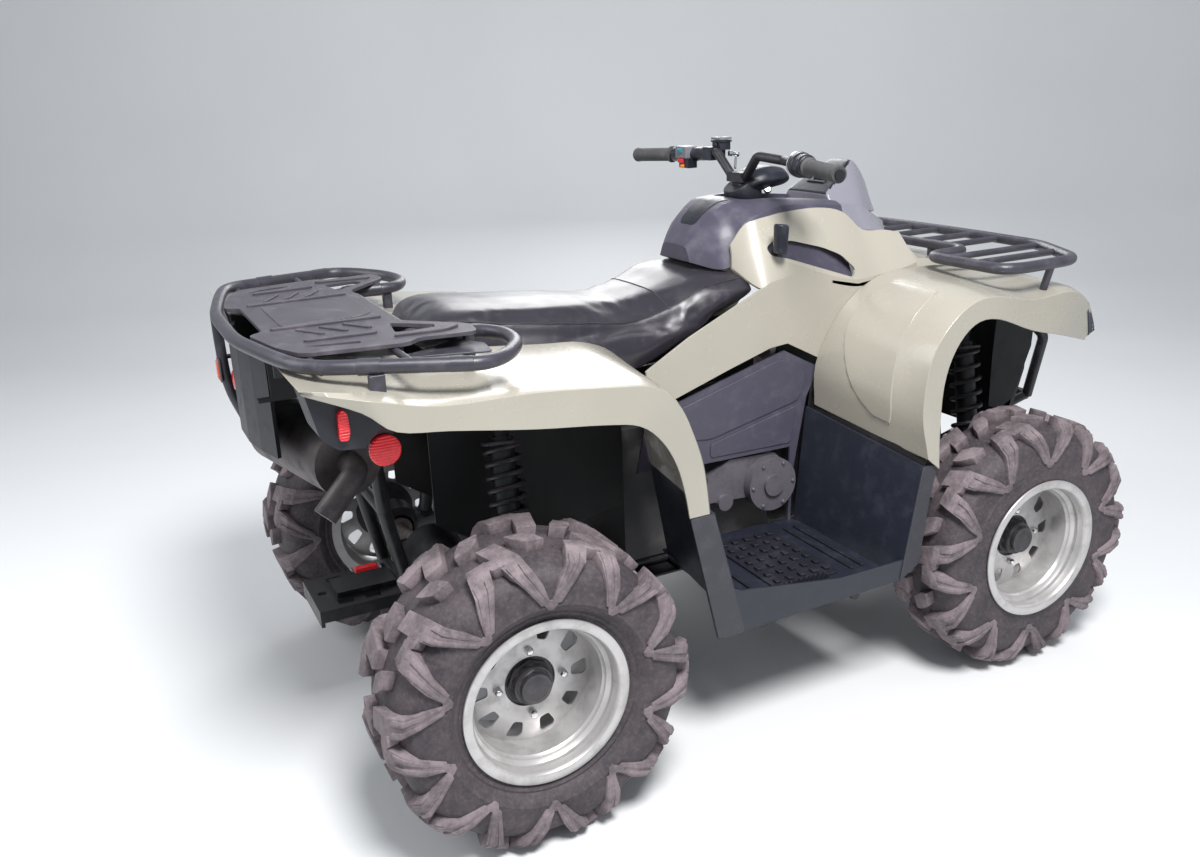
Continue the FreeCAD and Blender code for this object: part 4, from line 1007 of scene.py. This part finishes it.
button("teal_button", (0.02, 0.22, 0.27), 150, 232, 1231, 18, 13, 5)
button("red_switch", (0.62, 0.02, 0.03), 154, 232, 1206, 26, 12, 6)
button("orange_button", (0.75, 0.22, 0.01), 154, 226, 1193, 13, 9, 7)
perch = block(160, 206, 104, 140, 1212, 1244)
lathed([(15, 0), (17, 2), (17, 66), (15, 68)], (188, 134, 1226), (181, 202, 1223), 28, perch)
lathed([(6, 0), (6, 60), (4.5, 200), (5, 262), (8, 268), (6, 276)], (205, 126, 1226), (188, 400, 1221),
       16, perch)
on_bar("brake_perch", perch, INKY, 3, 3)
reservoir = block(184, 215, 96, 132, 1236, 1258)
block(181.5, 217.5, 93.5, 134.5, 1255, 1259.5, reservoir)
lathed([(7, 0), (8, 1), (8, 3), (5.5, 4), (0.5, 4.2)], (184, 114, 1247), (178, 114, 1247), 24, reservoir)
on_bar("brake_reservoir", reservoir, INKY, 1.8, 3)
lid = block(182, 217, 94, 134, 1260.5, 1266.6)
for x, y in ((189, 101), (210, 127)):
    lathed([(3.6, 0), (3.8, 0.5), (3.8, 1.6), (1.6, 2.1), (1.4, 1.2), (0.3, 1.2)],
           (x, y, 1265.6), (x, y, 1268), 16, lid)
on_bar("reservoir_lid", lid, SWITCH, 1.4, 3)
fitting = lathed([(5, 0), (7.5, 1), (7.5, 9), (5, 11), (5, 20), (7, 21), (7, 27), (4, 29)], (206, 92, 1228),
                 (232, 86, 1224), 12)
lathed([(3, 0), (3.4, 4), (3.4, 38), (3, 42)], (226, 88, 1222), (206, 62, 1190), 12, fitting)
on_bar("brake_fitting", fitting, CHROME, 0.6, slot="steel")

# Lamps and reflectors: moulded red lenses in the black tail corners, round side reflectors, a stop
# disc, an orange marker in its frame on the tail tube and a small reflector on the tow bar.
# Every lens glows faintly in its own colour, the reflectors and the marker too. This is a painted glow; no lamp
# is lit.
def lens_with_painted_glow(name, colour, ribs):
    paint = Paint(name)
    values = {"Vector": paint.place, "Scale": ribs, "Distortion": 0.0}
    wave = paint.node("TexWave", "Fac", {"bands_direction": "Z"}, values)
    tone = paint.between(paint.noise(60, 3), 0.3, 0.8)
    paint.raised((wave, 0.0012), (paint.cells(900), 0.0003))
    shade = tuple(value * 0.7 for value in colour)
    return paint.finish(Base_Color=paint.blend(tone, colour, shade), Roughness=0.12 + tone * 0.08,
                        Coat_Weight=0.6, Coat_Roughness=0.05, Emission_Color=colour, Emission_Strength=0.18)


RED = lens_with_painted_glow("red_lens", (0.75, 0.012, 0.02), 60)
ORANGE = lens_with_painted_glow("orange_lens", (0.80, 0.10, 0.02), 90)
CORNER = [(-1004, 951), (-900, 921), (-868, 862), (-896, 838), (-955, 842), (-985, 868)]
corner_form = slab(rounded(CORNER, 8, 3), -494, -400)
block(-892, -850, -450, -430, 800, 870, corner_form)
recess = lathed([(31, 0), (31.5, 8), (54, 64)], (-868, -448, 814), (-866, -520, 822), 48)
recess = placed("reflector_recess", recess)
pair("tail_corner_skin", corner_form, BLACK, "body_black", bevel=3, segments=3, cutters=(recess,))
bpy.data.objects.remove(recess)
lenses = bmesh.new()
for side in (-1, 1):
    low, high = span(side, 494.5, 506)
    slab(rounded([(-956, 862), (-940, 860), (-936, 876), (-938, 908), (-946, 916), (-954, 908)], 6, 3), low,
         high, "xz", lenses)
    lathed([(28, 0), (29, 1), (29, 6), (27, 8.5), (20, 10.5), (0.5, 11.5)], (-868, side * 449, 814),
           (-868, side * 470, 814), 48, lenses)
lathed([(20, 0), (21, 1), (21, 5), (18, 7), (0.5, 8)], (-1036, 62, 848), (-1060, 62, 848), 40, lenses)
piece("red_lenses", lenses, RED, "lamp_red", bevel=0.8, replaces=("tail_lamps",))
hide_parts("tail_corners")


def domed(low_a, high_a, low_b, high_b, layers, point):
    """Lens on a rectangle through layers of level and inset; point(level, a, b) gives a corner's place."""
    rings = []
    for level, inset in layers:
        a0, a1, b0, b1 = low_a + inset, high_a - inset, low_b + inset, high_b - inset
        rings.append([point(level, a, b) for a, b in ((a0, b0), (a1, b0), (a1, b1), (a0, b1))])
    return lofted(rings)


MARKER = ((-1057, 0), (-1061, 0.5), (-1063.2, 2.4), (-1064, 6))
marker = domed(128, 152, 835, 877, MARKER, lambda x, y, z: (x, y, z))
piece("marker_lens", marker, ORANGE, "lamp_red", bevel=0.8)
frame_form = block(-1060, -1056, 125, 155, 831, 881)
for z in (842, 870):
    lathed([(6, 0), (6, 5), (4.5, 6)], (-1057, 140, z), (-1050, 140, z), 16, frame_form)
piece("marker_frame", frame_form, SWITCH, "body_black", bevel=1.5)
brackets = block(-1008, -980, -256, -248, 921, 950)
lathed([(6.5, 0), (7, 0.6), (7, 3.2), (5, 4), (0.5, 4)], (-994, -255, 936), (-994, -262, 936), 6, brackets)
piece("tail_brackets", brackets, STRIP, "body_black", bevel=1.6)
REFLECTOR = ((351, 0), (356, 0.4), (358.2, 2.2), (359, 5))
reflector = domed(-838, -784, 62, 86, REFLECTOR, lambda z, x, y: (x, y, z))
piece("hitch_reflector", reflector, RED, "lamp_red", bevel=0.8)
clip = block(-846, -776, 57, 91, 349.5, 352)
for x in (-846, -779.5):
    block(x, x + 3.5, 60, 88, 350, 357, clip)
piece("hitch_clip", clip, CHROME, "steel", bevel=0.8)

# Footwells: tough black plastic trays, with rougher grey guards screwed along their outer edges,
# a raised peg plate with teeth, and a swage on the inner side panels.
for side, label in SIDES:
    guards = bmesh.new()
    low, high = span(side, 529.5, 532.5)
    slab(rounded([(-292, 579), (-236, 579), (-163, 301), (-166, 290), (-227, 293)], 7, 3), low, high, "xz",
         guards)
    slab(rounded([(262, 301), (317, 333), (339, 493), (356, 569), (313, 569)], 7, 3), low, high, "xz", guards)
    piece("footwell_guards_" + label, guards, STRIP, "body_black", bevel=1.2)
    pegs = bmesh.new()
    low, high = span(side, 505, 245)
    slab(rounded([(-60, low), (110, low), (110, high), (-60, high)], 16, 3), 349.6, 355, "xy", pegs)
    for row in range(5):
        for column in range(7):
            x, y = -48 + row * 33, side * (262 + column * 36)
            slab([(x, y - 8), (x + 12, y - 10), (x + 12, y + 10), (x, y + 8)], 354.5, 361, "xy", pegs)
    teeth = [(-150, 349.6)]
    for x in range(-150, 59, 13):
        teeth += [(x, 354), (x + 6, 366), (x + 9, 366)]
    slab(teeth + [(76, 354), (76, 349.6)], *span(side, 512, 504), target=pegs)
    for x in (-140, -108, 142, 172):
        slab(rounded([(x, low), (x + 10, low), (x + 10, high), (x, high)], 4, 2), 349.6, 355, "xy", pegs)
    piece("footwell_pegs_" + label, pegs, BLACK, "body_black", bevel=1.2)
    swage = bmesh.new()
    low, high = span(side, 204.6, 208)
    slab(rounded([(-205, 632), (-138, 690), (160, 772), (235, 730), (215, 662), (-40, 606)], 18, 4), low, high,
         "xz", swage)
    slab(rounded([(-40, 594), (205, 648), (190, 556), (-40, 560)], 10, 3), low, high, "xz", swage)
    piece("inner_panel_swage_" + label, swage, VIOLET, "body_black", bevel=2.5, segments=3)

# Closing plates of the front arches: black sheet that shuts the slits beside the inner panels
# and over the footwells' front walls.
LINER = grained_plastic("liner_plastic", (0.011, 0.011, 0.013), (0.004, 0.004, 0.005), 0.6)
for side, label in SIDES:
    low, high = span(side, 168, 172)
    closing = slab(rounded([(150, 345), (330, 345), (345, 560), (330, 800), (170, 800)], 20, 3), low, high)
    lofted([[(320, side * 526, 555), (324, side * 526, 555), (334, side * 526, 618), (330, side * 526, 618)],
            [(244, side * 206, 618), (248, side * 206, 618), (264, side * 206, 678), (260, side * 206, 678)]],
           closing)
    slab(rounded([(206, 345), (262, 345), (300, 640), (250, 700)], 12, 3), *span(side, 205, 202),
         target=closing)
    piece("arch_closing_" + label, closing, LINER, "body_black", bevel=1)

# Swage on the front fenders: a raised V-shaped field above the footwell, moulded in one with the
# sand-coloured skin. Columns of its rows: angle, y of the inner and the outer edge.
def between_edges(crest, inner, y):
    """Radius of the front fender's skin at y, from that of its crest and its inner edge."""
    return crest + (inner - crest) * (y - CREST_Y) / 242.7


def on_fender(angle, y, lift):
    """Point over the front fender's skin at an angle about its axle."""
    rows = sorted(FRONT_FENDER)
    for first, second in zip(rows, rows[1:]):
        if first[0] <= angle <= second[0]:
            share = (angle - first[0]) / (second[0] - first[0])
            crest, inner = (first[k] + (second[k] - first[k]) * share for k in (2, 3))
    return polar(between_edges(crest, inner, y) + lift, angle, y, AXLE_X, AXLE_Z)


FIELD = [(110.0, -285, -438), (115.0, -272, -442), (120.0, -266, -445), (125.0, -276, -447),
         (130.0, -306, -448), (134.0, -344, -448), (136.5, -392, -440)]
rings = []
for angle, inner_y, outer_y in smoothed(FIELD, 4):
    ys = [outer_y + (inner_y - outer_y) * k / 6 for k in range(7)]
    rings.append([on_fender(angle, y, 3.4) for y in ys] + [on_fender(angle, y, -2.5) for y in reversed(ys)])
pair("fender_swage", lofted(rings), SAND, "body_tan", bevel=2.6, segments=3)

# Grille backing: the dark core behind the slots of the nose, a finned block with a return along
# each side, fixed behind the nose panel.
backing = block(836, 842, -215, 215, 555, 835)
for low, high in ((-215, -210), (210, 215)):
    block(838, 880, low, high, 560, 820, backing)
for row in range(14):
    block(841, 845, -150, 150, 575 + row * 16, 580 + row * 16, backing)
piece("grille_backing", backing, LINER, "body_black", bevel=1)

# Nose lamps' side windows: lenses of smoked clear plastic, set flush into the front ends of the
# fenders.
GLASS = glossy_plastic("smoked_lens", (0.020, 0.026, 0.045), (0.014, 0.018, 0.032), 0.15)
rings = []
for angle, reach in ((61.5, -286), (62.6, -286), (63.8, -300), (65.0, -322), (66.2, -352), (67.2, -390)):
    share = (angle - 62) / 6
    crest, inner, lip_y = 548 + 50 * share, 600 + 25 * share, -455 - 15 * share
    ys = [CREST_Y + (reach - CREST_Y) * k / 6 for k in range(7)]
    radii = [between_edges(crest, inner, y) for y in ys]
    outer = [(crest - 20, lip_y - 2.6)] + [(r + 3.6, y) for r, y in zip(radii, ys)]
    under = [(crest - 20, lip_y + 3)] + [(r - 4, y) for r, y in zip(radii, ys)]
    rings.append([polar(r, angle, y, AXLE_X, AXLE_Z) for r, y in outer + under[::-1]])
pair("nose_lens", lofted(rings), GLASS, "lamp_clear", bevel=1.6, segments=3)

# Gate and gear lever: a violet-grey slotted plate behind the side panel's opening, with a
# black knob on its steel arm.
rings = []
for x, ridge_y, ridge, top_y, top in ((118, 186, 1014, 150, 1056), (165, 206, 996, 150, 1060),
                                      (284, 213, 950, 150, 1052), (372, 213, 930, 150, 1000)):
    rings.append([(x, -ridge_y + 7, ridge - 4), (x, -top_y - 20, top - 6), (x, -top_y - 14, top - 9),
                  (x, -ridge_y + 13, ridge - 7)])
piece("gate_plate", lofted(rings), VIOLET, "body_black", bevel=1.5, replaces=("gear_lever",))
arm = lathed([(4.5, 0), (5, 2), (5, 46), (4, 50)], (158, -184, 1016), (141, -216, 1064), 16)
piece("lever_arm", arm, CHROME, "steel", bevel=0.5)
KNOB = ((141, -203, 1066, 9), (141, -214, 1067, 13), (141, -228, 1068, 13), (141, -237, 1067, 9))
knob = lofted([[(x - wide, y, z - 42), (x + wide, y, z - 46), (x + wide + 5, y, z + 20),
                (x - wide + 1, y, z + 26)] for x, y, z, wide in KNOB])
piece("lever_knob", knob, INKY, "body_black", bevel=7, segments=4)

# Shock springs: coils of painted steel wire around the four dampers, held between a turned
# seat at each end.
def coil(start, end, radius, wire, turns, steps=28):
    way = (end - start).normalized()
    side = way.cross(Vector((0, 1, 0))).normalized()
    up = way.cross(side)
    rings = []
    for n in range(turns * steps + 1):
        t = 2 * math.pi * n / steps
        out = side * math.cos(t) + up * math.sin(t)
        centre = start + (end - start) * (n / (turns * steps)) + out * radius
        rings.append(round_ring(centre, out, way, wire, 8))
    return lofted(rings)


SPRING = metal("spring_paint", (0.055, 0.052, 0.062), (0.10, 0.085, 0.08), 0.42, 0.0003, 0.4)
for label, top, foot in (("rear", (-560, -205, 735), (-585, -325, 362)),
                         ("front", (738, -200, 760), (700, -318, 272))):
    start, end = Vector(top), Vector(foot)
    form = coil(start.lerp(end, 0.10), start.lerp(end, 0.66), 36, 5.5, 8)
    for share in (0.08, 0.66):
        lathed([(18, 0), (42, 1), (43, 4), (42, 8), (20, 10)], start.lerp(end, share), end, 28, form)
    pair(label + "_spring", form, SPRING, "black_frame")

# Engine cover: six domed bolts in a ring around its round part on the right, in the same dull
# cast metal as the cover.
bolts = ring_mesh(bolt(5, 5, (58, 0, 0)), 6, CHROME, 0.5)
bmesh.ops.scale(bolts, verts=bolts.verts, vec=MIRROR)
bmesh.ops.translate(bolts, verts=bolts.verts, vec=Vector((129, -222.6, 464)) / 1000)
COVER = metal("cover_metal_finish", (0.165, 0.150, 0.175), (0.105, 0.094, 0.108), 0.42, 0.0004, 0.4)
piece("cover_bolts", bolts, COVER, "cover_metal")

# What stays as the solids are: welded frame, arms, shafts, bumper, liners and the rest.
# Each gets the finish of its real material.
FRAME_PAINT = grained_plastic("frame_paint", (0.040, 0.038, 0.042), (0.012, 0.012, 0.015), 0.38, 1500, 0.00006)
FOOT_BLACK = grained_plastic("footwell_plastic", (0.025, 0.027, 0.040), (0.016, 0.018, 0.028), 0.34)
CAST = metal("cast_block", (0.05, 0.05, 0.052), (0.09, 0.08, 0.075), 0.6, 0.0006, 0.5)
STEEL = metal("worn_steel", (0.22, 0.20, 0.19), (0.12, 0.075, 0.05), 0.45, 0.0004, 0.7)
HEAT = metal("heated_steel", (0.115, 0.098, 0.098), (0.055, 0.052, 0.062), 0.48, 0.0006, 0.5)
CLEAR = lens_with_painted_glow("clear_lens", (0.75, 0.78, 0.80), 40)
FINISHES = {
    "footwell": FOOT_BLACK, "inner_panels": VIOLET, "splash": LINER, "rear_tray": LINER, "skid_plate": LINER,
    "engine_covers": COVER, "engine": CAST, "front_rack": RACK, "rear_rack": RACK, "silencer": HEAT,
    "hub": SMOKE, "half_shafts": STEEL, "tie_rod": STEEL, "headlamps": CLEAR, "front_fascia": BLACK,
    "rear_fascia": BLACK, "tail_corners": BLACK, "hitch": FRAME_PAINT}
for name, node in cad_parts.items():
    found = [finish for start, finish in FINISHES.items() if name.startswith(start)]
    for place in node.material_slots:
        place.material = found[0] if found else FRAME_PAINT
